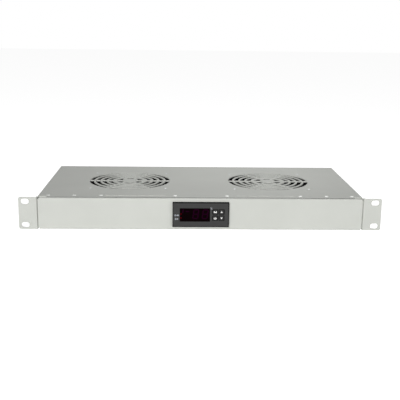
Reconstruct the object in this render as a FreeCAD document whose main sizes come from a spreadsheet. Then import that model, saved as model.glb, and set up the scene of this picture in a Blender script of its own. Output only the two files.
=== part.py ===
import FreeCAD, Part
import math
import os
import re
import Sketcher

# Rack fan tray, 19 inch wide and one unit high: a folded steel tray hangs two axial fans under two punched
# grilles, and a thermostat sits in the front panel between them.
# Frame: +X to the right and +Z up as seen from the front, +Y to the rear. The origin is the centre of the
# four rack slots, on the rear face of the ears. Millimetres.

V = FreeCAD.Vector

# Driving dimensions: each is a cell of the sheet, with its name as the alias.
SIZES = {
    # rack interface and tray
    "rack_width": (482.6, "over both ears"),
    "rack_height": (43.65, "ear height, one rack unit less its gap"),
    "slot_inset": (8.75, "ear's end to the middle of its slots"),
    "slot_pitch_up": (31.75, "ear slots, centre to centre upwards"),
    "slot_long": (10.3, "ear slot, end to end"),
    "slot_wide": (7.0, "ear slot width"),
    "ear_corner": (2.5, "ear corner radius"),
    "gauge": (1.2, "steel sheet thickness"),
    "bend_outer": (2.0, "outside radius of every fold"),
    "ear_reach": (23.3, "side wall to the ear's end"),
    "plate_drop": (0.65, "ears' top edge to the top plate"),
    "tray_depth": (220.0, "front of the ears to the rear wall"),
    "plate_setback": (3.8, "front of the ears to the top plate's edge"),
    "notch_width": (13.0, "corner notch of the top plate, inwards from the side"),
    "notch_depth": (6.0, "corner notch of the top plate, front to back"),
    "return_width": (8.0, "inward return along the walls' bottom edges"),
    "seam_width": (0.5, "open seam beside the rear wall's folds"),
    # front panel
    "panel_gap": (0.3, "panel to each side wall"),
    "top_flange": (19.0, "panel's top flange, from the face"),
    "bottom_flange": (12.0, "panel's bottom flange, from the face"),
    "side_flange": (10.0, "panel's side flanges, from the face"),
    "joggle_start": (2.3, "face to the step that takes the flange below the top plate"),
    "joggle_run": (1.0, "length of that step"),
    "joggle_shift": (0.25, "underside of the step, nearer the face than its top"),
    "corner_relief": (2.0, "square relief at each bottom corner"),
    "rivet_row": (14.5, "front of the ears to the row of rivets"),
    "rivet_inner": (35.0, "rivet places, from the middle"),
    "rivet_second": (134.0, "rivet places, from the middle"),
    "rivet_third": (48.5, "rivet places, from the side wall"),
    "rivet_outer": (14.0, "rivet places, from the side wall"),
    "rivet_shank": (3.2, "rivet shank diameter"),
    "rivet_head": (5.2, "rivet head diameter"),
    "rivet_head_rise": (0.5, "rivet head height over the top plate"),
    "rivet_upset": (1.0, "height of the set end under the flange"),
    "long_slot_place": (87.3, "long slot's middle, from the tray's middle"),
    "long_slot_length": (82.5, "long slot, end to end"),
    "long_slot_width": (3.0, "long slot width"),
    # grilles and fans
    "fan_clear": (6.0, "thermostat's cut-out to each fan frame"),
    "fan_from_rear": (108.0, "rear wall to the fan centres"),
    "ring_edge": (2.1, "fan's duct wall to the middle of the outermost slots"),
    "ring_pitch": (9.0, "radial distance from ring to ring"),
    "ring_slot": (6.0, "radial width of the slots"),
    "eye_step": (12.7, "last of those rings to the innermost, middle to middle"),
    "eye_slot": (8.0, "radial width of the innermost slots"),
    "spoke_width": (4.0, "web left between slot ends"),
    "fan_size": (119.0, "fan frame, square"),
    "fan_thick": (38.0, "fan frame thickness"),
    "fan_hole_inset": (7.1, "frame's edge to its fixing holes"),
    "fan_hole": (4.5, "fan fixing hole diameter"),
    "fan_corner": (5.0, "frame corner radius"),
    "fan_flange": (4.5, "thickness of the frame's two flanges"),
    "duct_inset": (2.2, "frame's edge to the duct"),
    "duct_wall": (2.0, "wall of the duct"),
    "inlet_flare": (3.0, "flare of the duct at its intake"),
    "base_radius": (32.0, "motor base radius"),
    "base_thick": (3.5, "motor base thickness"),
    "strut_width": (5.0, "strut width"),
    "strut_thick": (5.0, "strut depth"),
    "tube_length": (22.0, "bearing tube below the motor base"),
    "tube_wall": (2.5, "bearing tube wall"),
    "bearing_outer": (11.0, "bearing outer diameter"),
    "bearing_width": (4.0, "bearing width"),
    "shaft_diameter": (5.0, "fan shaft"),
    "running_gap": (0.03, "radial clearance of the shaft in its bearings"),
    "hub_radius": (31.0, "impeller hub radius"),
    "hub_wall": (1.8, "hub wall"),
    "hub_gap": (2.0, "motor base to the hub's rim"),
    "hub_inset": (2.5, "frame's intake face to the hub's nose"),
    "hub_round": (2.5, "rounding of the hub's nose"),
    "boss_height": (4.0, "boss in the hub that holds the shaft"),
    "tip_gap": (1.2, "blade tip to duct"),
    "blade_thick": (2.0, "blade thickness at mid chord"),
    "blade_camber": (3.5, "rise of the blade's middle line"),
    "blade_root_reach": (13.0, "half the blade's reach round the hub"),
    "blade_root_rise": (11.0, "half the blade's height at the hub"),
    "blade_tip_reach": (23.0, "half the blade's reach round the duct"),
    "blade_tip_rise": (10.0, "half the blade's height at the tip"),
    "rotor_wall": (4.5, "rotor ring's radial thickness"),
    "air_gap": (0.4, "rotor ring to stator"),
    "stator_height": (17.0, "stator stack"),
    "winding_height": (3.5, "end turns over each face of the stack"),
    "winding_width": (9.0, "end turns, radial width"),
    "screw_diameter": (4.0, "fan screw"),
    "screw_head": (7.6, "fan screw head diameter"),
    "screw_head_rise": (2.2, "fan screw head height"),
    "screw_gap": (0.05, "radial clearance of the screws in the top plate"),
    "guard_thick": (1.0, "finger guard sheet"),
    "guard_inset": (2.5, "duct wall to the guard's outer edge"),
    "guard_web": (2.6, "guard's ring width"),
    "guard_slot": (7.6, "guard's slot width"),
    "guard_bar": (5.0, "guard's diagonal bars"),
    "guard_eye": (6.0, "radius of the guard's fixing eyes"),
    "plug_clear": (4.4, "fan's fixing hole to its terminal block"),
    "plug_length": (10.0, "fan terminal block, front to back"),
    "plug_depth": (12.0, "fan terminal block, across"),
    "plug_height": (8.0, "fan terminal block and plug"),
    "tab_pitch": (5.0, "fan tabs, centre to centre"),
    "fan_tab_width": (2.8, "fan tab"),
    "fan_tab_thick": (0.5, "fan tab"),
    "fan_tab_length": (7.0, "fan tab"),
    # thermostat
    "bezel_width": (75.0, "bezel"),
    "bezel_height": (33.5, "bezel"),
    "bezel_depth": (4.5, "bezel, proud of the panel"),
    "bezel_wall": (2.2, "bezel's front wall, over the rim"),
    "bezel_rim": (0.8, "width of the rim round the overlay"),
    "bezel_recess": (0.5, "rim's front to the overlay's seat"),
    "bezel_round": (0.3, "bezel's edge rounding"),
    "overlay_thick": (0.4, "printed overlay"),
    "bezel_lap": (2.0, "bezel over each side of the panel cut-out"),
    "bezel_lap_up": (2.25, "bezel over the panel cut-out, above and below"),
    "control_across": (0.7, "thermostat's middle left of the tray's middle"),
    "control_drop": (0.3, "thermostat's middle below the tray's middle"),
    "housing_gap": (0.3, "housing to cut-out, each side"),
    "housing_wall": (1.6, "housing wall"),
    "housing_depth": (79.0, "panel face to the housing's rear"),
    "window_height": (18.2, "display window"),
    "window_left": (9.6, "bezel's left edge to the window"),
    "window_right": (25.2, "window to the bezel's right edge"),
    "window_drop": (0.1, "window and button middle below the bezel's middle"),
    "lens_lip": (1.0, "lens lip behind the window's edge"),
    "lens_lip_thick": (1.0, "lens lip thickness"),
    "lens_gap": (0.1, "lens to window"),
    "display_depth": (6.0, "display module"),
    "board_thick": (1.6, "circuit boards"),
    "button_width": (5.5, "button cap"),
    "button_height": (5.9, "button cap"),
    "button_pitch_across": (8.4, "button columns"),
    "button_pitch_up": (8.4, "button rows"),
    "button_right": (9.9, "last button column to the bezel's right edge"),
    "button_gap": (0.3, "button to bezel, all round"),
    "button_rise": (0.6, "cap over the overlay"),
    "button_collar": (0.7, "collar that keeps the cap in, each side"),
    "button_travel": (0.5, "button travel"),
    "key_size": (6.0, "key switch body, square"),
    "key_depth": (3.2, "key switch body"),
    "plunger_diameter": (3.4, "key switch plunger"),
    "plunger_rise": (1.2, "plunger over its switch"),
    "plunger_gap": (0.05, "plunger in its switch, radial"),
    "board_gap": (0.05, "button collar to the bezel at rest"),
    "board_rise": (2.0, "housing floor to the main board"),
    "board_clear": (8.0, "front board to the parts on the main board"),
    "transformer_width": (26.0, "transformer"),
    "transformer_depth": (22.0, "transformer"),
    "transformer_height": (18.0, "transformer"),
    "coil_rise": (2.0, "transformer coil over its core"),
    "relay_width": (15.0, "relay"),
    "relay_depth": (19.0, "relay"),
    "relay_height": (15.5, "relay"),
    "rail_rise": (1.0, "rails that guide the side clips"),
    "clip_thick": (2.0, "side clip"),
    "clip_length": (24.0, "side clip"),
    "clip_height": (12.0, "side clip"),
    "clip_foot": (4.0, "clip's foot on the panel"),
    "terminal_margin": (3.6, "housing wall to the rear terminal block"),
    "terminal_height": (15.0, "terminal block"),
    "terminal_proud": (6.0, "terminal block behind the housing"),
    "cover_wall": (1.2, "terminal cover"),
    "cover_room": (9.0, "terminals to the cover's rear face, where the leads spread"),
    # appliance inlet
    "inlet_flange_width": (50.0, "inlet flange"),
    "inlet_flange_height": (24.0, "inlet flange"),
    "inlet_flange_thick": (2.5, "inlet flange"),
    "inlet_body_width": (27.4, "inlet body"),
    "inlet_body_height": (20.0, "inlet body"),
    "inlet_body_depth": (22.0, "inlet body behind its flange"),
    "inlet_gap": (0.2, "inlet body to the wall's cut-out"),
    "inlet_hole_pitch": (40.0, "inlet screws"),
    "socket_width": (24.2, "inlet socket"),
    "socket_height": (16.6, "inlet socket"),
    "socket_depth": (17.0, "inlet socket"),
    "socket_corner": (4.5, "slanted corners of the socket"),
    "pin_spacing": (14.0, "line pin to neutral pin"),
    "pin_offset": (2.0, "earth pin above, others below the middle"),
    "pin_width": (4.0, "pin height"),
    "pin_thick": (2.0, "pin thickness"),
    "pin_length": (14.0, "pin in the socket"),
    "tab_length": (9.0, "pin's solder tab behind the body"),
    "small_screw": (3.0, "inlet screws, diameter"),
    "small_head": (5.6, "inlet screws, countersunk head"),
    "small_nut": (5.5, "inlet nuts, across flats"),
    "small_nut_thick": (2.4, "inlet nuts"),
    "small_gap": (0.2, "inlet screw clearance, radial"),
    "small_head_rise": (1.6, "inlet screws' head height"),
    "sleeve_wall": (1.2, "insulating sleeve on the inlet's tabs"),
    # earth stud and leads
    "stud_across": (46.0, "earth stud, from the middle"),
    "stud_diameter": (4.0, "earth stud"),
    "stud_length": (12.0, "earth stud"),
    "nut_flats": (7.0, "earth nut, across flats"),
    "nut_thick": (3.2, "earth nut"),
    "tag_thick": (0.8, "ring terminal"),
    "tag_radius": (4.2, "ring terminal"),
    "tag_barrel": (8.0, "ring terminal's barrel"),
    "tag_gap": (3.0, "top plate to the ring terminal, the lower nut between"),
    "lead_diameter": (2.4, "single-core leads"),
    "jacket_diameter": (3.0, "two-core fan and sensor leads"),
    "sensor_drop": (3.6, "top plate to the sensor lead's middle"),
    "fan_lead_across": (12.0, "fan leads' run, from the middle"),
    "sensor_across": (22.0, "sensor lead's run, from the middle"),
    "line_across": (4.0, "live and neutral leads' run, from the middle"),
    "probe_across": (110.0, "sensor probe's near end, from the middle"),
    "probe_from_rear": (16.0, "rear wall to the sensor probe"),
    "probe_diameter": (5.0, "sensor probe"),
    "probe_length": (25.0, "sensor probe"),
    "clamp_width": (7.0, "cable clamp along its lead"),
    "clamp_wall": (2.2, "cable clamp beside its lead"),
    "clamp_gap": (0.1, "cable clamp to its lead, radial"),
}

# Levels and places that follow from the driving dimensions.
face = "(-gauge)"                                   # front of ears and panel
rear = "(tray_depth - gauge)"                       # outside of the rear wall
floor = "(-rack_height / 2)"                        # bottom edges
roof = "(rack_height / 2 - plate_drop)"             # top of the top plate
ceiling = f"({roof} - gauge)"                       # underside of the top plate
wall = "(rack_width / 2 - ear_reach)"               # outside of a side wall
bend_inner = "(bend_outer - gauge)"
plate_edge = "(plate_setback - gauge)"
panel_half = f"({wall} - gauge - panel_gap)"
rivet_line = "(rivet_row - gauge)"
rivet_places = ("rivet_inner", "rivet_second", f"({wall} - rivet_third)", f"({wall} - rivet_outer)")
fan_row = f"({rear} - fan_from_rear)"
fan_hole_at = "(fan_size / 2 - fan_hole_inset)"     # fixing holes, from the fan's axis
bore_radius = "(fan_size / 2 - duct_inset)"
cutout_width = "(bezel_width - 2 * bezel_lap)"
cutout_height = "(bezel_height - 2 * bezel_lap_up)"
fan_across = f"({cutout_width} / 2 + fan_clear + fan_size / 2)"
control_x = "(-control_across)"
control_mid = "(-control_drop)"
bezel_front = f"({face} - bezel_depth)"
bezel_back = f"({bezel_front} + bezel_wall)"        # rear of the bezel's front wall
bezel_face = f"({bezel_front} + bezel_recess)"      # overlay's seat
overlay_front = f"({bezel_face} - overlay_thick)"
board_front = f"({bezel_back} + lens_lip_thick + display_depth)"
housing_half = f"({cutout_width} / 2 - housing_gap)"
housing_rise = f"({cutout_height} / 2 - housing_gap)"
room_half = f"({housing_half} - housing_wall)"      # inside of the housing
room_rise = f"({housing_rise} - housing_wall)"
housing_rear = f"({face} + housing_depth)"
guard_under = f"({ceiling} - fan_thick - guard_thick)"

doc = FreeCAD.newDocument("rack_fan_tray")
sheet = doc.addObject("Spreadsheet::Sheet", "dims")
for row, (alias, (size, meaning)) in enumerate(SIZES.items(), 1):
    sheet.set(f"A{row}", str(size))
    sheet.setAlias(f"A{row}", alias)
    sheet.set(f"B{row}", meaning)
probe = doc.addObject("App::FeaturePython", "calculator")
doc.recompute()

NODES = []
SPOKES = 6
RINGS = 4
BLADES = 5
STRUTS = 4
POLES = 4
GUARD_BARS = 4
GUARD_ROWS = 4


def bound(text):
    """The expression with each size's name turned into its cell of the sheet."""
    return re.sub(r"[a-z][a-z_]*", lambda m: f"dims.{m[0]}" if m[0] in SIZES else m[0], str(text))


def value(text):
    """What an expression comes to, as a number."""
    return float(probe.evalExpression(bound(text)))


def node(obj, label):
    """Names a finished sub-part, which gives its file's name."""
    obj.Label = label
    NODES.append(obj)
    return obj


def place(obj, x="0", y="0", z="0"):
    """Binds where an object stands."""
    for axis, text in zip("xyz", (x, y, z)):
        obj.setExpression(f"Placement.Base.{axis}", bound(text))
    return obj


# ---- Part workbench helpers

TURN = {
    "x": FreeCAD.Rotation(V(0, 1, 0), 90),
    "y": FreeCAD.Rotation(V(1, 0, 0), -90),
    "z": FreeCAD.Rotation(),
}


def box(x, y, z, name="block"):
    """A block between pairs of limits."""
    obj = doc.addObject("Part::Box", name)
    for size, axis, (low, high) in zip(("Length", "Width", "Height"), "xyz", (x, y, z)):
        obj.setExpression(size, bound(f"({high}) - ({low})"))
        obj.setExpression(f"Placement.Base.{axis}", bound(low))
    return obj


def rod(diameter, x, y, z, name="rod"):
    """A round bar along the one axis that is given as a pair of limits."""
    places = dict(x=x, y=y, z=z)
    along = next(axis for axis, text in places.items() if isinstance(text, tuple))
    low, high = places[along]
    places[along] = low
    obj = doc.addObject("Part::Cylinder", name)
    obj.setExpression("Radius", bound(f"({diameter}) / 2"))
    obj.setExpression("Height", bound(f"({high}) - ({low})"))
    obj.Placement.Rotation = TURN[along]
    return place(obj, **places)


def cone(wide, narrow, x, y, z, name="cone"):
    """A cone along Y from the wide end to the narrow end."""
    low, high = y
    obj = doc.addObject("Part::Cone", name)
    obj.setExpression("Radius1", bound(f"({wide}) / 2"))
    obj.setExpression("Radius2", bound(f"({narrow}) / 2"))
    obj.setExpression("Height", bound(f"({high}) - ({low})"))
    obj.Placement.Rotation = TURN["y"]
    return place(obj, x, low, z)


def hexagon(flats, x, y, z, along, name="hexagon"):
    """A hexagonal bar; the axis it runs along is given as a pair of limits."""
    places = dict(x=x, y=y, z=z)
    low, high = places[along]
    places[along] = low
    obj = doc.addObject("Part::Prism", name)
    obj.Polygon = 6
    obj.setExpression("Circumradius", bound(f"({flats}) / sqrt(3)"))
    obj.setExpression("Height", bound(f"({high}) - ({low})"))
    obj.Placement.Rotation = TURN[along]
    return place(obj, **places)


def fuse(*shapes, name="joined"):
    obj = doc.addObject("Part::MultiFuse", name)
    obj.Shapes = list(shapes)
    return obj


def cut(base, *tools, name="cut"):
    obj = doc.addObject("Part::Cut", name)
    obj.Base = base
    obj.Tool = tools[0] if len(tools) == 1 else fuse(*tools, name="cutters")
    return obj


def group(shapes, name="group"):
    """Separate solids kept together as one node."""
    obj = doc.addObject("Part::Compound", name)
    obj.Links = list(shapes)
    return obj


def ring(outer, inner, x, y, z, name="ring"):
    return cut(rod(outer, x, y, z), rod(inner, x, y, z), name=name)


# ---- PartDesign helpers

class Outline:
    """A fully constrained sketch whose points and radii are bound to the sheet."""

    def __init__(self, body, plane, level, centre=("0", "0"), turned=0):
        self.sketch = body.newObject("Sketcher::SketchObject", "Outline")
        self.sketch.AttachmentSupport = [(origin_item(body, plane), "")]
        self.sketch.MapMode = "FlatFace"
        self.sketch.AttachmentOffset = FreeCAD.Placement(V(), FreeCAD.Rotation(V(0, 0, 1), turned))
        sign = "-" if plane == "XZ_Plane" else ""
        for axis, text in zip("xyz", (*centre, f"{sign}({level})")):
            self.sketch.setExpression(f"AttachmentOffset.Base.{axis}", bound(text))

    def constrain(self, *items, to=None):
        """Adds a constraint, with its size bound where one is given."""
        items = list(items) + ([value(to)] if to is not None else [])
        index = self.sketch.addConstraint(Sketcher.Constraint(*items))
        if to is not None:
            self.sketch.setExpression(f"Constraints[{index}]", bound(to))

    def pin(self, shape, point, x, y):
        self.constrain("DistanceX", -1, 1, shape, point, to=x)
        self.constrain("DistanceY", -1, 1, shape, point, to=y)

    def polygon(self, *points):
        first = self.sketch.GeometryCount
        corners = [V(value(x), value(y), 0) for x, y in points]
        for start, end in zip(corners, corners[1:] + corners[:1]):
            self.sketch.addGeometry(Part.LineSegment(start, end))
        for i, (x, y) in enumerate(points):
            after = first + (i + 1) % len(points)
            self.constrain("Coincident", first + i, 2, after, 1)
            self.pin(first + i, 1, x, y)
        return self

    def rectangle(self, x, y):
        """A rectangle between pairs of limits."""
        return self.polygon((x[0], y[0]), (x[1], y[0]), (x[1], y[1]), (x[0], y[1]))

    def circle(self, x, y, radius):
        centre = V(value(x), value(y), 0)
        index = self.sketch.addGeometry(Part.Circle(centre, V(0, 0, 1), value(radius)))
        self.pin(index, 3, x, y)
        self.constrain("Radius", index, to=radius)
        return self

    def slot(self, x, y, long, wide):
        """A slot with round ends, along the sketch's first axis."""
        half, end = value(f"({long}) / 2 - ({wide}) / 2"), value(f"({wide}) / 2")
        mid = V(value(x), value(y), 0)
        left, right = mid - V(half, 0, 0), mid + V(half, 0, 0)
        quarter = FreeCAD.Units.parseQuantity("90 deg").getValueAs("rad").Value
        add = self.sketch.addGeometry
        first = add(Part.ArcOfCircle(Part.Circle(left, V(0, 0, 1), end), quarter, 3 * quarter))
        low = add(Part.LineSegment(left - V(0, end, 0), right - V(0, end, 0)))
        last = add(Part.ArcOfCircle(Part.Circle(right, V(0, 0, 1), end), -quarter, quarter))
        high = add(Part.LineSegment(right + V(0, end, 0), left + V(0, end, 0)))
        loop = [first, low, last, high]
        for shape, after in zip(loop, loop[1:] + loop[:1]):
            self.constrain("Tangent", shape, 2, after, 1)
        self.pin(first, 3, f"({x}) - ({long}) / 2 + ({wide}) / 2", y)
        self.pin(last, 3, f"({x}) + ({long}) / 2 - ({wide}) / 2", y)
        self.constrain("Radius", first, to=f"({wide}) / 2")
        self.constrain("Equal", first, last)
        return self

    def crescent(self, reach, rise, height, camber, thick):
        """A thin bowed section between (-reach, height - rise) and (reach, height + rise): two arcs on one
        chord, whose middles stand off it by the camber, and by the camber less the thickness."""
        half = f"sqrt(({reach}) ^ 2 + ({rise}) ^ 2)"
        ends = ((f"-({reach})", f"({height}) - ({rise})"), (reach, f"({height}) + ({rise})"))
        low, high = (V(value(x), value(y), 0) for x, y in ends)
        across = V(value(rise), -value(reach), 0).normalize()
        for stand in (camber, f"({camber}) - ({thick})"):
            middle = (low + high) / 2 + across * value(stand)
            index = self.sketch.addGeometry(Part.Arc(low, middle, high))
            starts_low = self.sketch.getPoint(index, 1).distanceToPoint(low) < 0.001
            for point, (x, y) in zip((1, 2) if starts_low else (2, 1), ends):
                self.pin(index, point, x, y)
            self.constrain("Radius", index, to=f"({half}) ^ 2 / (2 * ({stand})) + ({stand}) / 2")
        return self

    def arc_slots(self, rings, spokes, web):
        """Curved slots round the sketch's origin, one for each ring's middle radius and width, that fill the
        sector between two spokes. Their ends run parallel to the spokes."""
        reach = rings[-1][0]
        half_turn = V(value(f"cos(180deg / {spokes})"), value(f"sin(180deg / {spokes})"), 0)
        axis = self.sketch.addGeometry(Part.LineSegment(V(0, 0, 0), half_turn * value(reach)), True)
        self.constrain("Coincident", axis, 1, -1, 1)
        self.pin(axis, 2, f"({reach}) * cos(180deg / {spokes})", f"({reach}) * sin(180deg / {spokes})")
        for radius, width in rings:
            arcs = []
            for size in (f"({radius}) - ({width}) / 2", f"({radius}) + ({width}) / 2"):
                start = value(f"asin(({web}) / 2 / ({size})) / 1rad")
                end = value(f"(360deg / {spokes}) / 1rad") - start
                arc = Part.ArcOfCircle(Part.Circle(V(0, 0, 0), V(0, 0, 1), value(size)), start, end)
                index = self.sketch.addGeometry(arc)
                self.constrain("Coincident", index, 3, -1, 1)
                self.constrain("Radius", index, to=size)
                self.constrain("DistanceY", -1, 1, index, 1, to=f"({web}) / 2")
                self.constrain("Symmetric", index, 1, index, 2, axis)
                arcs.append((index, arc))
            (inner, inner_arc), (outer, outer_arc) = arcs
            for point, near, far in ((1, inner_arc.StartPoint, outer_arc.StartPoint),
                                     (2, inner_arc.EndPoint, outer_arc.EndPoint)):
                line = self.sketch.addGeometry(Part.LineSegment(near, far))
                self.constrain("Coincident", line, 1, inner, point)
                self.constrain("Coincident", line, 2, outer, point)
        return self


def origin_item(body, role):
    return next(o for o in body.Origin.OriginFeatures if o.Role == role)


class Piece:
    """A PartDesign body, made by adding and removing between two levels."""

    def __init__(self, label, at=("0", "0", "0")):
        self.body = node(doc.addObject("PartDesign::Body", label), label)
        place(self.body, *at)

    def outline(self, plane, level, centre=("0", "0"), turned=0):
        return Outline(self.body, plane, level, centre, turned)

    def extrude(self, kind, draw, plane, low, high, centre, turned):
        """A pad, or a pocket through the same space: a pad runs along its sketch's normal, a pocket
        against it, and the XZ plane's normal points to -Y."""
        from_high = (kind == "PartDesign::Pocket") != (plane == "XZ_Plane")
        outline = self.outline(plane, high if from_high else low, centre, turned)
        draw(outline)
        feature = self.body.newObject(kind, kind.split("::")[1])
        feature.Profile = outline.sketch
        feature.setExpression("Length", bound(f"({high}) - ({low})"))
        return feature, (outline.sketch, ["N_Axis"])

    def add(self, draw, plane, low, high, centre=("0", "0"), turned=0):
        return self.extrude("PartDesign::Pad", draw, plane, low, high, centre, turned)

    def remove(self, draw, plane, low, high, centre=("0", "0"), turned=0):
        doc.recompute()
        before = self.body.Shape.Volume
        made = self.extrude("PartDesign::Pocket", draw, plane, low, high, centre, turned)
        doc.recompute()
        if not self.body.Shape.Volume < before:
            raise RuntimeError(f"a pocket of {self.body.Label} cut nothing")
        return made

    def turn(self, kind, *points):
        """A closed profile in the XZ plane, turned about Z: Revolution adds it, Groove removes it."""
        outline = self.outline("XZ_Plane", "0").polygon(*points)
        feature = self.body.newObject(f"PartDesign::{kind}", kind)
        feature.Profile = outline.sketch
        feature.ReferenceAxis = (outline.sketch, ["V_Axis"])
        feature.Angle = 360
        doc.recompute()
        return feature

    def repeat(self, feature, axis, count):
        """Copies of a feature round an axis."""
        pattern = self.body.newObject("PartDesign::PolarPattern", "Around")
        pattern.Originals = [feature]
        pattern.Axis = axis
        pattern.Angle = 360
        pattern.Occurrences = count
        self.body.Tip = pattern
        doc.recompute()

    def round(self, radius, pick):
        """Fillets the edges whose middle and direction the function picks."""
        doc.recompute()
        names = []
        for i, edge in enumerate(self.body.Tip.Shape.Edges, 1):
            straight = edge.Curve.TypeId == "Part::GeomLine"
            if straight and pick(edge.CenterOfMass, edge.tangentAt(edge.FirstParameter)):
                names.append(f"Edge{i}")
        if not names:
            raise RuntimeError(f"no edge of {self.body.Label} to round")
        base = self.body.Tip
        feature = self.body.newObject("PartDesign::Fillet", "Round")
        feature.Base = (base, names)
        feature.setExpression("Radius", bound(radius))
        doc.recompute()
        if feature.Shape.isNull():
            raise RuntimeError(f"{self.body.Label} could not be rounded by {radius}")


def near(a, b):
    return abs(a - value(b)) < 0.01


def about(middle, size):
    """Limits on both sides of a middle."""
    return f"({middle}) - ({size}) / 2", f"({middle}) + ({size}) / 2"


def mirrored(sign, low, high):
    """Limits on the right side, or the same ones on the left."""
    return (low, high) if sign == "" else (f"-({high})", f"-({low})")


def both_sides(low, high):
    """The same limits on the right and, mirrored, on the left."""
    return ((low, high), (f"-({high})", f"-({low})"))


# ---- folded steel

def tray_body():
    """One folded sheet: top plate, side walls that turn outwards into the ears, rear wall, bottom returns."""
    tray = Piece("tray_body")
    tray.add(lambda o: o.rectangle((f"-{wall}", wall), (plate_edge, rear)), "XY_Plane", floor, roof)
    tray.round("bend_outer", lambda mid, way: (near(mid.z, roof) or near(mid.z, floor))
               and (near(abs(mid.x), wall) or near(mid.y, rear)))
    inside, before = f"({wall} - gauge)", f"({plate_edge} - 1)"
    tray.remove(lambda o: o.rectangle((f"-{inside}", inside), (before, f"{rear} - gauge")),
                "XY_Plane", f"{floor} + gauge", ceiling)
    tray.round(bend_inner, lambda mid, way: (near(mid.z, ceiling) or near(mid.z, f"{floor} + gauge"))
               and (near(abs(mid.x), inside) or near(mid.y, f"{rear} - gauge")))
    opening = f"({inside} - return_width)"
    for half, end in ((opening, f"{rear} - gauge - return_width"),
                      (inside, f"{face} + bottom_flange + 2 * gauge")):
        tray.remove(lambda o: o.rectangle((f"-{half}", half), (before, end)),
                    "XY_Plane", f"{floor} - 1", f"{floor} + gauge + 1")

    for side in ("", "-"):
        def ear(o, s=side):
            end = f"{s}(rack_width / 2)"
            o.polygon((f"{s}({inside})", plate_edge), (f"{s}({inside})", face), (end, face), (end, "0"),
                      (f"{s}{wall}", "0"), (f"{s}{wall}", plate_edge))
        tray.add(ear, "XY_Plane", floor, f"{floor} + rack_height")
    tray.round("bend_outer", lambda mid, way: abs(way.z) > 0.9 and near(abs(mid.x), inside)
               and near(mid.y, face))
    tray.round(bend_inner, lambda mid, way: abs(way.z) > 0.9 and near(abs(mid.x), wall)
               and near(mid.y, "0"))
    tray.round("ear_corner", lambda mid, way: abs(way.y) > 0.9 and near(abs(mid.x), "rack_width / 2"))

    def ear_slots(o):
        for s in ("-", ""):
            for z in ("-slot_pitch_up / 2", "slot_pitch_up / 2"):
                o.slot(f"{s}(rack_width / 2 - slot_inset)", z, "slot_long", "slot_wide")
    tray.remove(ear_slots, "XZ_Plane", f"{face} - 1", "1")

    def corner_notches(o):
        for x in both_sides(f"{wall} - notch_width", f"{wall} + 1"):
            o.rectangle(x, (plate_edge, f"{plate_edge} + notch_depth"))
    tray.remove(corner_notches, "XY_Plane", f"{roof} - bend_outer", f"{roof} + 1")

    def front_row(o):
        for s in ("", "-"):
            for x in rivet_places:
                o.circle(f"{s}({x})", rivet_line, "rivet_shank / 2")
            o.slot(f"{s}(long_slot_place)", rivet_line, "long_slot_length", "long_slot_width")
    tray.remove(front_row, "XY_Plane", f"{ceiling} - 1", f"{roof} + 1")

    outermost = f"({bore_radius} - ring_edge)"
    rings = [(f"({outermost} - {ring} * ring_pitch)", "ring_slot") for ring in range(RINGS)]
    rings.append((f"({rings[-1][0]} - eye_step)", "eye_slot"))
    for side in ("-", ""):
        centre = (f"{side}{fan_across}", fan_row)
        slots, axis = tray.remove(lambda o: o.arc_slots(rings, SPOKES, "spoke_width"),
                                  "XY_Plane", f"{ceiling} - 1", f"{roof} + 1", centre)
        tray.repeat(slots, axis, SPOKES)
        tray.remove(lambda o: fan_holes(o, "screw_diameter / 2 + screw_gap"),
                    "XY_Plane", f"{ceiling} - 1", f"{roof} + 1", centre)

    def inlet_cutout(o):
        half, rise = "(inlet_body_width / 2 + inlet_gap)", "(inlet_body_height / 2 + inlet_gap)"
        o.rectangle((f"-{half}", half), (f"-{rise}", rise))
        for x in ("-inlet_hole_pitch / 2", "inlet_hole_pitch / 2"):
            o.circle(x, "0", "small_screw / 2 + small_gap")
    tray.remove(inlet_cutout, "XZ_Plane", f"{rear} - gauge - 1", f"{rear} + 1")

    def corner_seams(o):
        for x in both_sides(f"{inside} - seam_width", inside):
            o.rectangle(x, (f"{rear} - gauge - return_width", f"{rear} + 1"))
    tray.remove(corner_seams, "XY_Plane", f"{floor} - 1", f"{roof} - bend_outer")


def fan_holes(o, radius):
    """The fan's four fixing holes, round the sketch's origin."""
    for x in (f"-{fan_hole_at}", fan_hole_at):
        for y in (f"-{fan_hole_at}", fan_hole_at):
            o.circle(x, y, radius)


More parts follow.
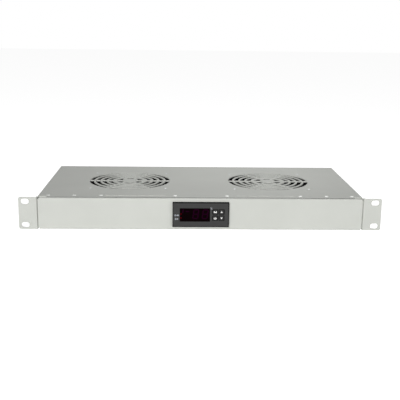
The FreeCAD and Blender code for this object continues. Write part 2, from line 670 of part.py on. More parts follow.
def front_panel():
    """A folded pan between the side walls; its top flange steps down to pass below the top plate."""
    panel = Piece("front_panel")
    back, step = f"({face} + top_flange)", f"({face} + joggle_start)"
    lower, foot = f"{ceiling} - gauge", f"{face} + bottom_flange"

    def section(o):
        o.polygon((face, floor), (face, roof), (step, roof), (f"{step} + joggle_run", ceiling),
                  (back, ceiling), (back, lower), (f"{step} + joggle_run - joggle_shift", lower),
                  (f"{step} - joggle_shift", ceiling), ("0", ceiling), ("0", f"{floor} + gauge"),
                  (foot, f"{floor} + gauge"), (foot, floor))
    panel.add(section, "YZ_Plane", f"-{panel_half}", panel_half)
    panel.round("bend_outer", lambda mid, way: near(mid.y, face) and abs(way.x) > 0.9)
    panel.round(bend_inner, lambda mid, way: near(mid.y, "0") and abs(way.x) > 0.9)

    def corner_reliefs(o):
        for x in both_sides(f"{panel_half} - corner_relief", f"{panel_half} + 1"):
            o.rectangle(x, (f"{floor} - 1", f"{floor} + corner_relief"))
            o.rectangle(x, (f"{roof} - corner_relief", f"{roof} + 1"))
    panel.remove(corner_reliefs, "XZ_Plane", f"{face} - 1", f"{back} + 1")

    def side_flanges(o):
        for x in both_sides(f"{panel_half} - gauge", panel_half):
            o.rectangle(x, (f"{floor} + corner_relief", f"{roof} - corner_relief"))
    panel.add(side_flanges, "XZ_Plane", "0", f"{face} + side_flange")
    panel.round("bend_outer", lambda mid, way: near(mid.y, face) and near(abs(mid.x), panel_half))
    panel.round(bend_inner, lambda mid, way: near(mid.y, "0") and near(abs(mid.x), f"{panel_half} - gauge")
                and abs(way.z) > 0.9)

    def cutout(o):
        o.rectangle(about(control_x, cutout_width), about(control_mid, cutout_height))
    panel.remove(cutout, "XZ_Plane", f"{face} - 1", "1")

    def rivet_holes(o):
        for s in ("", "-"):
            for x in rivet_places:
                o.circle(f"{s}({x})", rivet_line, "rivet_shank / 2")
    panel.remove(rivet_holes, "XY_Plane", f"{ceiling} - gauge - 1", f"{ceiling} + 1")


def panel_rivets():
    """Rivets through the top plate and the panel's flange, with a low head above."""
    rivets = []
    for s in ("-", ""):
        for place_across in rivet_places:
            x = f"{s}({place_across})"
            head = rod("rivet_head", x, rivet_line, (roof, f"{roof} + rivet_head_rise"))
            shank = rod("rivet_shank", x, rivet_line, (f"{ceiling} - gauge - rivet_upset", roof))
            rivets.append(fuse(head, shank))
    node(group(rivets), "panel_rivets")


# ---- fans; each piece is made about the fan's axis, with z = 0 at the frame's upper face

tube_bore = "(bearing_outer / 2)"
tube_outer = "(bearing_outer / 2 + tube_wall)"
hub_rim = "(-base_thick - hub_gap)"
hub_nose = "(-fan_thick + hub_inset)"
hub_inside = "(hub_radius - hub_wall)"
hub_end = f"({hub_nose} + hub_wall)"
boss_radius = "shaft_diameter"
shaft_radius = "(shaft_diameter / 2)"
rotor_bore = f"({hub_inside} - rotor_wall)"
stator_top = "(-base_thick - winding_height - hub_gap)"
blade_tip = f"({bore_radius} - tip_gap)"
duct_outer = f"({bore_radius} + duct_wall)"


def fan_frame(label, at):
    """Die-cast frame: two square flanges joined by the round duct, and the motor base on four struts with
    the bearing tube below it."""
    frame = Piece(label, at)
    half = ("-fan_size / 2", "fan_size / 2")
    frame.add(lambda o: o.circle("0", "0", duct_outer), "XY_Plane", "-fan_thick", "0")
    for low, high in (("-fan_flange", "0"), ("-fan_thick", "-fan_thick + fan_flange")):
        frame.add(lambda o: o.rectangle(half, half), "XY_Plane", low, high)
    frame.round("fan_corner", lambda mid, way: abs(way.z) > 0.9 and near(abs(mid.x), "fan_size / 2")
                and near(abs(mid.y), "fan_size / 2"))
    frame.remove(lambda o: o.circle("0", "0", bore_radius), "XY_Plane", "-fan_thick - 1", "1")
    within, flare_end = f"{bore_radius} - 1", "-fan_thick + inlet_flare"
    frame.turn("Groove", (within, flare_end), (bore_radius, flare_end),
               (f"{bore_radius} + duct_wall / 2", "-fan_thick"), (within, "-fan_thick"))
    frame.remove(lambda o: fan_holes(o, "fan_hole / 2"), "XY_Plane", "-fan_thick - 1", "1")
    along = ("base_radius - strut_width", f"{bore_radius} + duct_wall / 2")
    strut, axis = frame.add(lambda o: o.rectangle(along, ("-strut_width / 2", "strut_width / 2")),
                            "XY_Plane", "-strut_thick", "0")
    frame.repeat(strut, axis, STRUTS)
    frame.add(lambda o: o.circle("0", "0", "base_radius"), "XY_Plane", "-base_thick", "0")
    tube_end = "-base_thick - tube_length"
    frame.add(lambda o: o.circle("0", "0", tube_outer), "XY_Plane", tube_end, "-base_thick")
    frame.remove(lambda o: o.circle("0", "0", tube_bore), "XY_Plane", f"{tube_end} - 1", "-base_thick")


def fan_impeller(label, at):
    """Hub cup with swept blades: each blade is lofted between a steep root section and a flat tip section,
    then trimmed by the round tip clearance and by the hub's inside."""
    fan = Piece(label, at)
    fan.turn("Revolution", ("0", hub_nose), ("hub_radius - hub_round", hub_nose),
             ("hub_radius", f"{hub_nose} + hub_round"), ("hub_radius", hub_rim), ("0", hub_rim))

    middle = f"({hub_nose} + {hub_rim}) / 2"
    sections = []
    for level, reach, rise in (("hub_radius * 3 / 4", "blade_root_reach", "blade_root_rise"),
                               (duct_outer, "blade_tip_reach", "blade_tip_rise")):
        outline = fan.outline("YZ_Plane", level)
        outline.crescent(reach, rise, middle, "blade_camber", "blade_thick")
        sections.append(outline.sketch)
    blade = fan.body.newObject("PartDesign::AdditiveLoft", "Blade")
    blade.Profile = sections[0]
    blade.Sections = sections[1:]
    blade.Ruled = True
    doc.recompute()
    fan.repeat(blade, (origin_item(fan.body, "Z_Axis"), [""]), BLADES)
    clear = "(fan_size)"
    fan.turn("Groove", (blade_tip, hub_nose), (clear, hub_nose), (clear, hub_rim), (blade_tip, hub_rim))
    boss_top = f"({hub_end} + boss_height)"
    fan.turn("Groove", ("0", hub_end), (shaft_radius, hub_end), (shaft_radius, boss_top),
             (boss_radius, boss_top), (boss_radius, hub_end), (hub_inside, hub_end),
             (hub_inside, hub_rim), ("0", hub_rim))


def fan_motor(side, at):
    """The motor's inner pieces, from the shaft outwards."""
    def spin(label, *points):
        piece = Piece(f"{label}_{side}", at)
        piece.turn("Revolution", *points)
        return piece

    shaft_top = "(-base_thick - 0.5)"
    spin("fan_shaft", ("0", hub_end), (shaft_radius, hub_end), (shaft_radius, shaft_top), ("0", shaft_top))
    ring_top = f"({hub_rim} - hub_wall)"
    spin("rotor_ring", (rotor_bore, hub_end), (hub_inside, hub_end), (hub_inside, ring_top),
         (rotor_bore, ring_top))

    stator_bottom = f"({stator_top} - stator_height)"
    stator = spin("stator_core", (tube_outer, stator_bottom), (f"{rotor_bore} - air_gap", stator_bottom),
                  (f"{rotor_bore} - air_gap", stator_top), (tube_outer, stator_top))
    slot_place = f"({tube_outer} + winding_width * 2 / 3)"
    for draw in (lambda o: o.circle(slot_place, "0", "winding_width / 2"),
                 lambda o: o.rectangle((slot_place, "hub_radius"), ("-gauge", "gauge"))):
        slot, axis = stator.remove(draw, "XY_Plane", stator_bottom, stator_top)
        stator.repeat(slot, axis, POLES)

    turns = []
    for low in (stator_top, f"({stator_bottom} - winding_height)"):
        turns.append(ring(f"2 * ({tube_outer} + winding_width)", f"2 * {tube_outer}", "0", "0",
                          (low, f"{low} + winding_height")))
    place(node(group(turns), f"windings_{side}"), *at)


def fan_bearings():
    """A bearing at each end of each fan's bearing tube."""
    bearings = []
    for x in (f"-{fan_across}", fan_across):
        for low in (f"{ceiling} - base_thick - bearing_width", f"{ceiling} - base_thick - tube_length"):
            bearings.append(ring("bearing_outer", "shaft_diameter + 2 * running_gap", x, fan_row,
                                 (low, f"{low} + bearing_width")))
    node(group(bearings), "fan_bearings")


def finger_guard(label, at):
    """Flat guard on the intake side: rings on diagonal bars that end in the fixing eyes."""
    guard = Piece(label, at)
    under, over = "-fan_thick - guard_thick", "-fan_thick"
    edge = f"({bore_radius} - guard_inset)"
    guard.add(lambda o: o.circle("0", "0", edge), "XY_Plane", under, over)
    along = ("0", f"{fan_hole_at} * sqrt(2)")
    bar, axis = guard.add(lambda o: o.rectangle(along, ("-guard_bar / 2", "guard_bar / 2")),
                          "XY_Plane", under, over, turned=45)
    guard.repeat(bar, axis, GUARD_BARS)
    guard.add(lambda o: fan_holes(o, "guard_eye"), "XY_Plane", under, over)
    rings = [(f"({edge} - guard_web - guard_slot / 2 - {row} * (guard_slot + guard_web))", "guard_slot")
             for row in range(GUARD_ROWS)]
    slots, axis = guard.remove(lambda o: o.arc_slots(rings, GUARD_BARS, "guard_bar"),
                               "XY_Plane", under, over, turned=45)
    guard.repeat(slots, axis, GUARD_BARS)
    guard.remove(lambda o: fan_holes(o, "fan_hole / 2"), "XY_Plane", under, over)


fan_inner = f"({fan_across} - fan_size / 2)"        # frame's side towards the thermostat
plug_far = f"({fan_row} + {fan_hole_at} - plug_clear)"
plug_near = f"({plug_far} - plug_length)"
plug_row = f"(({plug_near} + {plug_far}) / 2)"
plug_level = f"({ceiling} - fan_flange - plug_height / 2)"
plug_end = f"({fan_inner} - fan_tab_length - plug_depth / 2)"


def fan_terminals():
    """Each fan's terminal block under the frame's upper flange on its inner side, its two tabs, and the plug
    on them."""
    high = f"({ceiling} - fan_flange)"
    low = f"({high} - plug_height)"
    along = (plug_near, plug_far)
    fit = "2 * clamp_gap"
    blocks, tabs, plugs = [], [], []
    for sign in ("-", ""):
        blocks.append(box(mirrored(sign, fan_inner, f"{fan_inner} + plug_depth"), along, (low, high)))
        slots = []
        for offset in ("- tab_pitch / 2", "+ tab_pitch / 2"):
            y = f"{plug_row} {offset}"
            tabs.append(box(mirrored(sign, f"{fan_inner} - fan_tab_length", fan_inner),
                            about(y, "fan_tab_thick"), about(plug_level, "fan_tab_width")))
            slots.append(box(mirrored(sign, f"{fan_inner} - fan_tab_length - clamp_gap", fan_inner),
                             about(y, f"fan_tab_thick + {fit}"), about(plug_level, f"fan_tab_width + {fit}")))
        plug = box(mirrored(sign, plug_end, f"{fan_inner} - clamp_gap"), along, (low, high))
        plugs.append(cut(plug, *slots))
    node(group(blocks), "fan_terminals")
    node(group(tabs), "fan_tabs")
    node(group(plugs), "fan_plugs")


def fan_screws():
    """Four screws to a fan, from below: through guard and frame into the top plate, with their tips flush."""
    screws = []
    for side in ("-", ""):
        for x in (f"-{fan_hole_at}", fan_hole_at):
            for y in (f"-{fan_hole_at}", fan_hole_at):
                across, along = f"({side}{fan_across} + {x})", f"({fan_row} + {y})"
                head = rod("screw_head", across, along, (f"{guard_under} - screw_head_rise", guard_under))
                shank = rod("screw_diameter", across, along, (guard_under, roof))
                screws.append(fuse(head, shank))
    node(group(screws), "fan_screws")


# ---- thermostat

bezel_left = f"({control_x} - bezel_width / 2)"
bezel_right = f"({control_x} + bezel_width / 2)"
window_sides = (f"{bezel_left} + window_left", f"{bezel_right} - window_right")
window_mid = f"(({window_sides[0]} + {window_sides[1]}) / 2)"
window_width = f"({window_sides[1]} - ({window_sides[0]}))"
window_level = f"({control_mid} - window_drop)"
columns = (f"{bezel_right} - button_right - button_pitch_across", f"{bezel_right} - button_right")
rows = (f"{window_level} - button_pitch_up / 2", f"{window_level} + button_pitch_up / 2")
BUTTONS = {
    "power": (columns[0], rows[0]),
    "set": (columns[0], rows[1]),
    "down": (columns[1], rows[0]),
    "up": (columns[1], rows[1]),
}


def face_openings(o):
    """The display window and the four button openings."""
    o.rectangle(window_sides, about(window_level, "window_height"))
    for x, z in BUTTONS.values():
        o.rectangle(about(x, "button_width + 2 * button_gap"), about(z, "button_height + 2 * button_gap"))


def bezel():
    """Front frame with a thin rim, display window and button openings, and a rear recess that takes the
    front end of the housing; the printed overlay lies on its face inside the rim."""
    frame = Piece("controller_bezel")
    frame.add(lambda o: o.rectangle((bezel_left, bezel_right), about(control_mid, "bezel_height")),
              "XZ_Plane", bezel_front, face)
    frame.round("bezel_round", lambda mid, way: near(mid.y, bezel_front)
                or abs(way.y) > 0.9 and near(abs(mid.x - value(control_x)), "bezel_width / 2"))
    seat = "2 * bezel_rim"
    frame.remove(lambda o: o.rectangle(about(control_x, f"bezel_width - {seat}"),
                                       about(control_mid, f"bezel_height - {seat}")),
                 "XZ_Plane", f"{bezel_front} - 1", bezel_face)
    frame.remove(lambda o: o.rectangle(about(control_x, f"2 * {housing_half} + 2 * lens_gap"),
                                       about(control_mid, f"2 * {housing_rise} + 2 * lens_gap")),
                 "XZ_Plane", bezel_back, f"{face} + 1")
    frame.remove(face_openings, "XZ_Plane", f"{bezel_front} - 1", f"{bezel_back} + 0.1")

    overlay = Piece("controller_overlay")
    inset = "2 * (bezel_rim + lens_gap)"
    overlay.add(lambda o: o.rectangle(about(control_x, f"bezel_width - {inset}"),
                                      about(control_mid, f"bezel_height - {inset}")),
                "XZ_Plane", overlay_front, bezel_face)
    overlay.remove(face_openings, "XZ_Plane", f"{overlay_front} - 1", f"{bezel_face} + 0.1")


def display():
    """Tinted lens with a lip behind the window's edge, and the display module behind it."""
    fit = "2 * lens_gap"
    lip_back = f"({bezel_back} + lens_lip_thick)"
    front = box(about(window_mid, f"{window_width} - {fit}"), (overlay_front, bezel_back),
                about(window_level, f"window_height - {fit}"))
    lip = box(about(window_mid, f"{window_width} + 2 * lens_lip"), (bezel_back, lip_back),
              about(window_level, "window_height + 2 * lens_lip"))
    node(fuse(front, lip), "display_window")
    node(box(about(window_mid, f"{window_width} - 2 * lens_lip"), (lip_back, board_front),
             about(window_level, "window_height - lens_lip")), "display_module")
    node(box(about(control_x, f"2 * {room_half}"), (board_front, f"{board_front} + board_thick"),
             about(control_mid, f"2 * {room_rise}")), "front_board")


def buttons():
    """Each cap slides in its opening, held by a collar behind the bezel; it pushes the plunger of its key
    switch on the front board."""
    key_front = f"({board_front} - key_depth)"
    plunger_front = f"({key_front} - plunger_rise)"
    collar_front = f"({bezel_back} + board_gap)"
    collar_back = f"({collar_front} + button_collar)"
    wide, well_deep = "2 * button_collar", f"{key_front} + 2 * button_travel + clamp_gap"
    switches = []
    for name, (x, z) in BUTTONS.items():
        cap = box(about(x, "button_width"), (f"{overlay_front} - button_rise", collar_front),
                  about(z, "button_height"))
        collar = box(about(x, f"button_width + {wide}"), (collar_front, collar_back),
                     about(z, f"button_height + {wide}"))
        stem = rod("plunger_diameter", x, (collar_back, plunger_front), z)
        node(fuse(cap, collar, stem), f"button_{name}")
        plunger = rod("plunger_diameter", x, (plunger_front, f"{key_front} + button_travel"), z)
        node(plunger, f"plunger_{name}")
        body = box(about(x, "key_size"), (key_front, board_front), about(z, "key_size"))
        well = rod("plunger_diameter + 2 * plunger_gap", x, (f"{key_front} - 1", well_deep), z)
        switches.append(cut(body, well))
    node(group(switches), "key_switches")


board_low = f"({control_mid} - {room_rise} + board_rise)"
board_high = f"({board_low} + board_thick)"
block_rear = f"({housing_rear} + terminal_proud)"
block_top = f"({board_high} + terminal_height)"
block_width = f"(2 * ({room_half} - terminal_margin))"
cover_rear = f"({block_rear} + cover_room)"
mouth_level = f"({board_high} + terminal_height * 2 / 3)"
LEAD_LINES = (("-sensor_across", "jacket_diameter"), ("-fan_lead_across", "jacket_diameter"),
              ("-line_across", "lead_diameter"), ("line_across", "lead_diameter"),
              ("fan_lead_across", "jacket_diameter"))


def beside(sign, low, high):
    """Limits right of the thermostat's middle, or the same ones left of it."""
    return (f"{control_x} + {low}", f"{control_x} + {high}") if sign == "" else \
        (f"{control_x} - ({high})", f"{control_x} - ({low})")


def housing():
    """Moulded case behind the panel, open at the front, with an opening for the terminal block."""
    shell = box(about(control_x, f"2 * {housing_half}"), (f"{bezel_back} + clamp_gap", housing_rear),
                about(control_mid, f"2 * {housing_rise}"))
    hollow = box(about(control_x, f"2 * {room_half}"),
                 (f"{bezel_back} - 1", f"{housing_rear} - housing_wall"),
                 about(control_mid, f"2 * {room_rise}"))
    opening = box(about(control_x, f"{block_width} + 2 * clamp_gap"),
                  (f"{housing_rear} - housing_wall - 1", f"{housing_rear} + 1"),
                  (board_high, f"{block_top} + clamp_gap"))
    ribs = []
    rail_place = "(clip_height / 2 + clamp_gap)"
    rail = ("clip_foot", f"{housing_rear} - clip_foot")
    for sign in ("", "-"):
        across = beside(sign, housing_half, f"{housing_half} + rail_rise")
        for low in (f"{control_mid} + {rail_place}", f"{control_mid} - {rail_place} - rail_rise"):
            ribs.append(box(across, rail, (low, f"{low} + rail_rise")))
    node(cut(fuse(shell, *ribs), fuse(hollow, opening)), "controller_housing")


def circuit():
    """Main board between the housing's walls, with transformer, relay and the rear terminal block."""
    start = f"({board_front} + board_thick)"
    parts_start = f"({start} + board_clear)"
    node(box(about(control_x, f"2 * {room_half}"), (start, f"{housing_rear} - housing_wall"),
             (board_low, board_high)), "main_board")
    core_x, core_top = f"{control_x} - transformer_width / 2", f"{board_high} + transformer_height"
    core = box(about(core_x, "transformer_width"), (parts_start, f"{parts_start} + transformer_depth"),
               (board_high, core_top))
    coil = box(about(core_x, "transformer_width * 2 / 3"),
               (f"{parts_start} - coil_rise", f"{parts_start} + transformer_depth + coil_rise"),
               (board_high, f"{core_top} - coil_rise"))
    node(fuse(core, coil), "controller_transformer")
    node(box(about(f"{control_x} + relay_width", "relay_width"),
             (parts_start, f"{parts_start} + relay_depth"), (board_high, f"{board_high} + relay_height")),
         "controller_relay")
    node(box(about(control_x, block_width), (f"{housing_rear} - terminal_proud", block_rear),
             (board_high, block_top)), "terminal_block")


def terminal_cover():
    """Moulded cover clipped over the terminals, with a mouth for each lead."""
    low, high = f"{board_high} - 2 * cover_wall", f"{block_top} + 2 * cover_wall"
    shell = box(about(control_x, f"{block_width} + 4 * cover_wall"), (housing_rear, cover_rear), (low, high))
    hollow = box(about(control_x, f"{block_width} + 2 * cover_wall"),
                 (f"{housing_rear} - 1", f"{cover_rear} - cover_wall"),
                 (f"{low} + cover_wall", f"{high} - cover_wall"))
    mouths = []
    for x, diameter in LEAD_LINES:
        mouths.append(rod(f"{diameter} + 2 * clamp_gap", x,
                          (f"{cover_rear} - 2 * cover_wall", f"{cover_rear} + 1"), mouth_level))
    node(cut(shell, hollow, *mouths), "terminal_cover")


def side_clips():
    """Clips that slide along the housing and bear on the back of the panel."""
    for side, sign in (("left", "-"), ("right", "")):
        strip = box(beside(sign, housing_half, f"{housing_half} + clip_thick"), ("0", "clip_length"),
                    about(control_mid, "clip_height"))
        foot = box(beside(sign, housing_half, f"{housing_half} + clip_thick + clip_foot / 2"),
                   ("0", "clip_foot"), about(control_mid, "clip_height"))
        node(fuse(strip, foot), f"controller_clip_{side}")


# ---- appliance inlet and earth

def inlet():
    """Flanged inlet body with its socket, three pins through its base, and its two screws and nuts."""
    body = Piece("inlet_body")
    mouth = f"({rear} + inlet_flange_thick)"
    base = f"({mouth} - socket_depth)"
    back = f"({rear} - inlet_body_depth)"
    body.add(lambda o: o.rectangle(about("0", "inlet_body_width"), about("0", "inlet_body_height")),
             "XZ_Plane", back, rear)
    body.add(lambda o: o.rectangle(about("0", "inlet_flange_width"), about("0", "inlet_flange_height")),
             "XZ_Plane", rear, mouth)
    body.round("socket_corner", lambda mid, way: abs(way.y) > 0.9
               and near(abs(mid.x), "inlet_flange_width / 2"))
    half, rise = "(socket_width / 2)", "(socket_height / 2)"
    shoulder, top = f"{half} - socket_corner", f"{rise} - socket_corner"
    body.remove(lambda o: o.polygon((f"-{half}", f"-{rise}"), (half, f"-{rise}"), (half, top),
                                    (shoulder, rise), (f"-({shoulder})", rise), (f"-{half}", top)),
                "XZ_Plane", base, f"{mouth} + 1")

    def pin_slots(o):
        for x, z in pins:
            o.rectangle(about(x, "pin_thick"), about(z, "pin_width"))
    pins = (("-pin_spacing / 2", "-pin_offset"), ("0", "pin_offset"), ("pin_spacing / 2", "-pin_offset"))
    body.remove(pin_slots, "XZ_Plane", f"{back} - 1", f"{base} + 1")

    def screw_holes(o):
        for x in ("-inlet_hole_pitch / 2", "inlet_hole_pitch / 2"):
            o.circle(x, "0", "small_screw / 2 + small_gap")
    body.remove(screw_holes, "XZ_Plane", f"{rear} - 1", f"{mouth} + 1")

    blades, sleeves = [], []
    for x, z in pins:
        blade = box(about(x, "pin_thick"), (back, f"{base} + pin_length"), about(z, "pin_width"))
        tab = box(about(x, "gauge"), (f"{back} - tab_length", back), about(z, "pin_width"))
        blades.append(fuse(blade, tab))
        outside = box(about(x, "pin_thick + 2 * sleeve_wall"), (sleeve_end, f"{back} - clamp_gap"),
                      about(z, "pin_width + 2 * sleeve_wall"))
        slot = box(about(x, "gauge + 2 * clamp_gap"), (f"{back} - tab_length - clamp_gap", back),
                   about(z, "pin_width + 2 * clamp_gap"))
        sleeves.append(cut(outside, slot))
    node(group(blades), "inlet_pins")
    node(group(sleeves), "tab_sleeves")

    screws, nuts = [], []
    for x in ("-inlet_hole_pitch / 2", "inlet_hole_pitch / 2"):
        head = rod("small_head", x, (mouth, f"{mouth} + small_head_rise"), "0")
        shank = rod("small_screw", x, (f"{rear} - gauge - 2 * small_nut_thick", mouth), "0")
        screws.append(fuse(head, shank))
        nut = hexagon("small_nut", x, (f"{rear} - gauge - small_nut_thick", f"{rear} - gauge"), "0", "y")
        hole = rod("small_screw + 2 * screw_gap", x, (f"{rear} - gauge - 2 * small_nut_thick", rear), "0")
        nuts.append(cut(nut, hole))
    node(group(screws), "inlet_screws")
    node(group(nuts), "inlet_nuts")


sleeve_end = f"({rear} - inlet_body_depth - tab_length - sleeve_wall)"
stud_row = f"({rear} - inlet_body_depth - tab_length / 2)"
tag_low = f"({ceiling} - tag_gap - tag_thick)"
tag_level = f"({tag_low} + tag_thick / 2)"
tag_mouth = "(stud_across - tag_radius - tag_barrel)"


def earth():
    """Weld stud under the top plate, with the earth lead's ring terminal between its two nuts."""
    x, y = "stud_across", stud_row
    node(rod("stud_diameter", x, y, (f"{ceiling} - stud_length", ceiling)), "earth_stud")
    washer = rod("2 * tag_radius", x, y, (tag_low, f"{tag_low} + tag_thick"))
    barrel_end = f"{x} - nut_flats * 0.6"
    barrel = rod("lead_diameter + 2 * tag_thick", (tag_mouth, barrel_end), y, tag_level)
    lead_hole = rod("lead_diameter", (f"{tag_mouth} - 1", f"{tag_mouth} + tag_barrel / 2"), y, tag_level)
    tongue = box((f"{barrel_end} - gauge", x), about(y, "lead_diameter"), (tag_low, f"{tag_low} + tag_thick"))
    hole = rod("stud_diameter + 2 * screw_gap", x, y, (f"{tag_low} - 1", ceiling))
    node(cut(fuse(washer, barrel, tongue), hole, lead_hole), "ring_terminal")
    nuts = []
    for low, high in ((f"{tag_low} - nut_thick", tag_low), (f"{tag_low} + tag_thick", ceiling)):
        nuts.append(cut(hexagon("nut_flats", x, y, (low, high), "z"),
                        rod("stud_diameter + 2 * screw_gap", x, y, (f"{low} - 1", f"{high} + 1"))))
    node(group(nuts), "earth_nuts")


# ---- leads

lead_run = f"({plug_row} - {cover_rear})"           # fans' plugs to the terminal cover
clamp_row = f"({cover_rear} + {lead_run} / 2)"
slope_start = f"({cover_rear} + {lead_run} * 0.3)"
slope_end = f"({cover_rear} + {lead_run} * 0.13)"
rise_end = f"({clamp_row} * 2 / 3 + {sleeve_end} / 3)"
sensor_level = f"({ceiling} - sensor_drop)"
probe_row = f"({rear} - gauge - probe_from_rear)"
flag_level = "(pin_offset + pin_width / 2)"


def lead(points, diameter):
    """A lead along straight runs joined by tangent arcs, each arc taking 0.45 of its shorter run."""
    knots = [V(*(value(c) for c in point)) for point in points]
    edges, start, radii = [], knots[0], []
    for before, corner, after in zip(knots, knots[1:], knots[2:]):
        into, out = (corner - before).normalize(), (after - corner).normalize()
        reach = 0.45 * min(before.distanceToPoint(corner), corner.distanceToPoint(after))
        enter, leave = corner - into * reach, corner + out * reach
        half_turn = into.getAngle(out) / 2
        radius = reach / math.tan(half_turn)
        inward = (out - into).normalize()
        middle = corner + inward * (radius / math.cos(half_turn) - radius)
        edges += [Part.LineSegment(start, enter).toShape(), Part.Arc(enter, middle, leave).toShape()]
        start = leave
        radii.append(radius)
    edges.append(Part.LineSegment(start, knots[-1]).toShape())
    path = Part.Wire(edges)
    ring_edge = Part.Circle(knots[0], knots[1] - knots[0], value(diameter) / 2).toShape()
    solid = path.makePipeShell([Part.Wire([ring_edge])], True, False)
    true_volume = math.pi * (value(diameter) / 2) ** 2 * path.Length
    if abs(solid.Volume - true_volume) > 0.01 * true_volume:
        raise RuntimeError("a lead's volume is not its section times its length")
    return solid, path.Length, min(radii)


def lead_node(label, diameter, *routes):
    solids = [lead(points, diameter) for points in routes]
    obj = doc.addObject("Part::Feature", label)
    obj.Shape = Part.Compound([solid for solid, length, radius in solids])
    node(obj, label)
    print(label, "length", round(solids[0][1]), "tightest radius", round(min(s[2] for s in solids), 1))


def to_mouth(x, level):
    """From the clamp bar, level, then down and into the cover's mouth."""
    return [(x, slope_start, level), (x, slope_end, mouth_level), (x, block_rear, mouth_level)]


def leads():
    """The leads run below the top plate between the fans, through the clamp bar, to the terminals."""
    for side, sign in (("left", "-"), ("right", "")):
        x = f"{sign}fan_lead_across"
        start = [(f"{sign}{plug_end}", plug_row, plug_level), (x, plug_row, plug_level)]
        lead_node(f"fan_lead_{side}", "jacket_diameter", start + to_mouth(x, plug_level))

    x = "-sensor_across"
    start = [("-probe_across", probe_row, sensor_level), (x, probe_row, sensor_level)]
    lead_node("sensor_lead", "jacket_diameter", start + to_mouth(x, sensor_level))

    for label, pin, x in (("neutral_lead", "-pin_spacing / 2", "-line_across"),
                          ("live_lead", "pin_spacing / 2", "line_across")):
        lead_node(label, "lead_diameter",
                  [(pin, sleeve_end, "-pin_offset"), (pin, f"{sleeve_end} - 12", "-pin_offset"),
                   (x, rise_end, plug_level)] + to_mouth(x, plug_level))

    side_exit = "pin_thick / 2 + sleeve_wall"
    lead_node("earth_lead", "lead_diameter",
              [(side_exit, stud_row, flag_level), (f"{side_exit} + 10", stud_row, flag_level),
               (f"{tag_mouth} - 7", stud_row, tag_level),
               (f"{tag_mouth} + tag_barrel / 2", stud_row, tag_level)])


def clamps():
    """Clamp bar under the top plate, which holds every lead, and the saddle that holds the probe."""
    reach = "(sensor_across + jacket_diameter / 2 + clamp_wall)"
    far = "(fan_lead_across + jacket_diameter / 2 + clamp_wall)"
    bar = box((f"-{reach}", far), about(clamp_row, "clamp_width"),
              (f"{plug_level} - jacket_diameter / 2 - clamp_wall", ceiling))
    ways = []
    for x, diameter in LEAD_LINES:
        level = sensor_level if x == "-sensor_across" else plug_level
        ways.append(rod(f"{diameter} + 2 * clamp_gap", x, about(clamp_row, "clamp_width + 2"), level))
    node(group([cut(bar, *ways), sensor_probe()]), "cable_clamps")


def sensor_probe():
    """Round-nosed probe, open to the air behind the left fan; gives back the saddle that holds it."""
    x_near, level = "-probe_across", sensor_level
    tip = f"({x_near} - probe_length)"
    barrel = rod("probe_diameter", (tip, x_near), probe_row, level)
    nose = doc.addObject("Part::Sphere", "nose")
    nose.setExpression("Radius", bound("probe_diameter / 2"))
    node(fuse(barrel, place(nose, tip, probe_row, level)), "sensor_probe")
    middle = f"{x_near} - probe_length / 2"
    saddle = box(about(middle, "clamp_width"), about(probe_row, "probe_diameter + 2 * clamp_wall"),
                 (f"{level} - probe_diameter / 2 - clamp_wall", ceiling))
    return cut(saddle, rod("probe_diameter + 2 * clamp_gap", about(middle, "clamp_width + 2"), probe_row,
                           level))


# ---- build

def fan(side, sign):
    at = (f"{sign}{fan_across}", fan_row, ceiling)
    fan_frame(f"fan_frame_{side}", at)
    fan_impeller(f"impeller_{side}", at)
    fan_motor(side, at)
    finger_guard(f"finger_guard_{side}", at)


tray_body()
front_panel()
panel_rivets()
for side, sign in (("left", "-"), ("right", "")):
    fan(side, sign)
fan_bearings()
fan_terminals()
fan_screws()
bezel()
display()
buttons()
housing()
circuit()
terminal_cover()
side_clips()
inlet()
earth()
leads()
clamps()

doc.recompute()
for obj in doc.Objects:
    if "Invalid" in obj.State or "Error" in obj.State:
        raise RuntimeError(f"{obj.Label} failed: {obj.State}")
for obj in NODES:
    if obj.Shape.isNull() or not obj.Shape.isValid() or not obj.Shape.Solids:
        raise RuntimeError(f"{obj.Label} has no valid solid")
os.makedirs("parts", exist_ok=True)
for obj in NODES:
    obj.Shape.exportStep(f"parts/{obj.Label}.step")
print(len(NODES), "sub-parts")
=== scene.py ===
import math

import bpy
import numpy as np
from mathutils import Matrix, Vector


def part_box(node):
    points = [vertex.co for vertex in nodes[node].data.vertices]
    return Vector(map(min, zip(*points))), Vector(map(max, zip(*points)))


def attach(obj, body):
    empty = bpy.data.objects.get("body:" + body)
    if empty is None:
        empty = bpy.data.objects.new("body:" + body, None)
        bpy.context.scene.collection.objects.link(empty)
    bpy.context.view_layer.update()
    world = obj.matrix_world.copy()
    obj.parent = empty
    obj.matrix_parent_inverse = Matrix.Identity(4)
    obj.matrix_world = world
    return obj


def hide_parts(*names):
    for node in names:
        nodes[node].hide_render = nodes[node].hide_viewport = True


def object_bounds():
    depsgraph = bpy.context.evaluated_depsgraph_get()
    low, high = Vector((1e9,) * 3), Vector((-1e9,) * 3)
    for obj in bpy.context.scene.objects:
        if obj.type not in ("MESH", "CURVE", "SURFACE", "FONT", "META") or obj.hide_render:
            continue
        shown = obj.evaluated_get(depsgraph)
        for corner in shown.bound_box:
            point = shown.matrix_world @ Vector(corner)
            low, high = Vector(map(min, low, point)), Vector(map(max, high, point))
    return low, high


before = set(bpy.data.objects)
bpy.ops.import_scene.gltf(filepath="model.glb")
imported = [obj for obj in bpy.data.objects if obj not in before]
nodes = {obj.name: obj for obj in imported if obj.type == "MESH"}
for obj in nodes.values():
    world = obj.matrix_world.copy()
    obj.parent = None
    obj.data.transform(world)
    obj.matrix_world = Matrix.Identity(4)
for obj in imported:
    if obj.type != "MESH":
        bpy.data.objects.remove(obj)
cadBox = [[float(c) for c in corner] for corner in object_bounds()]
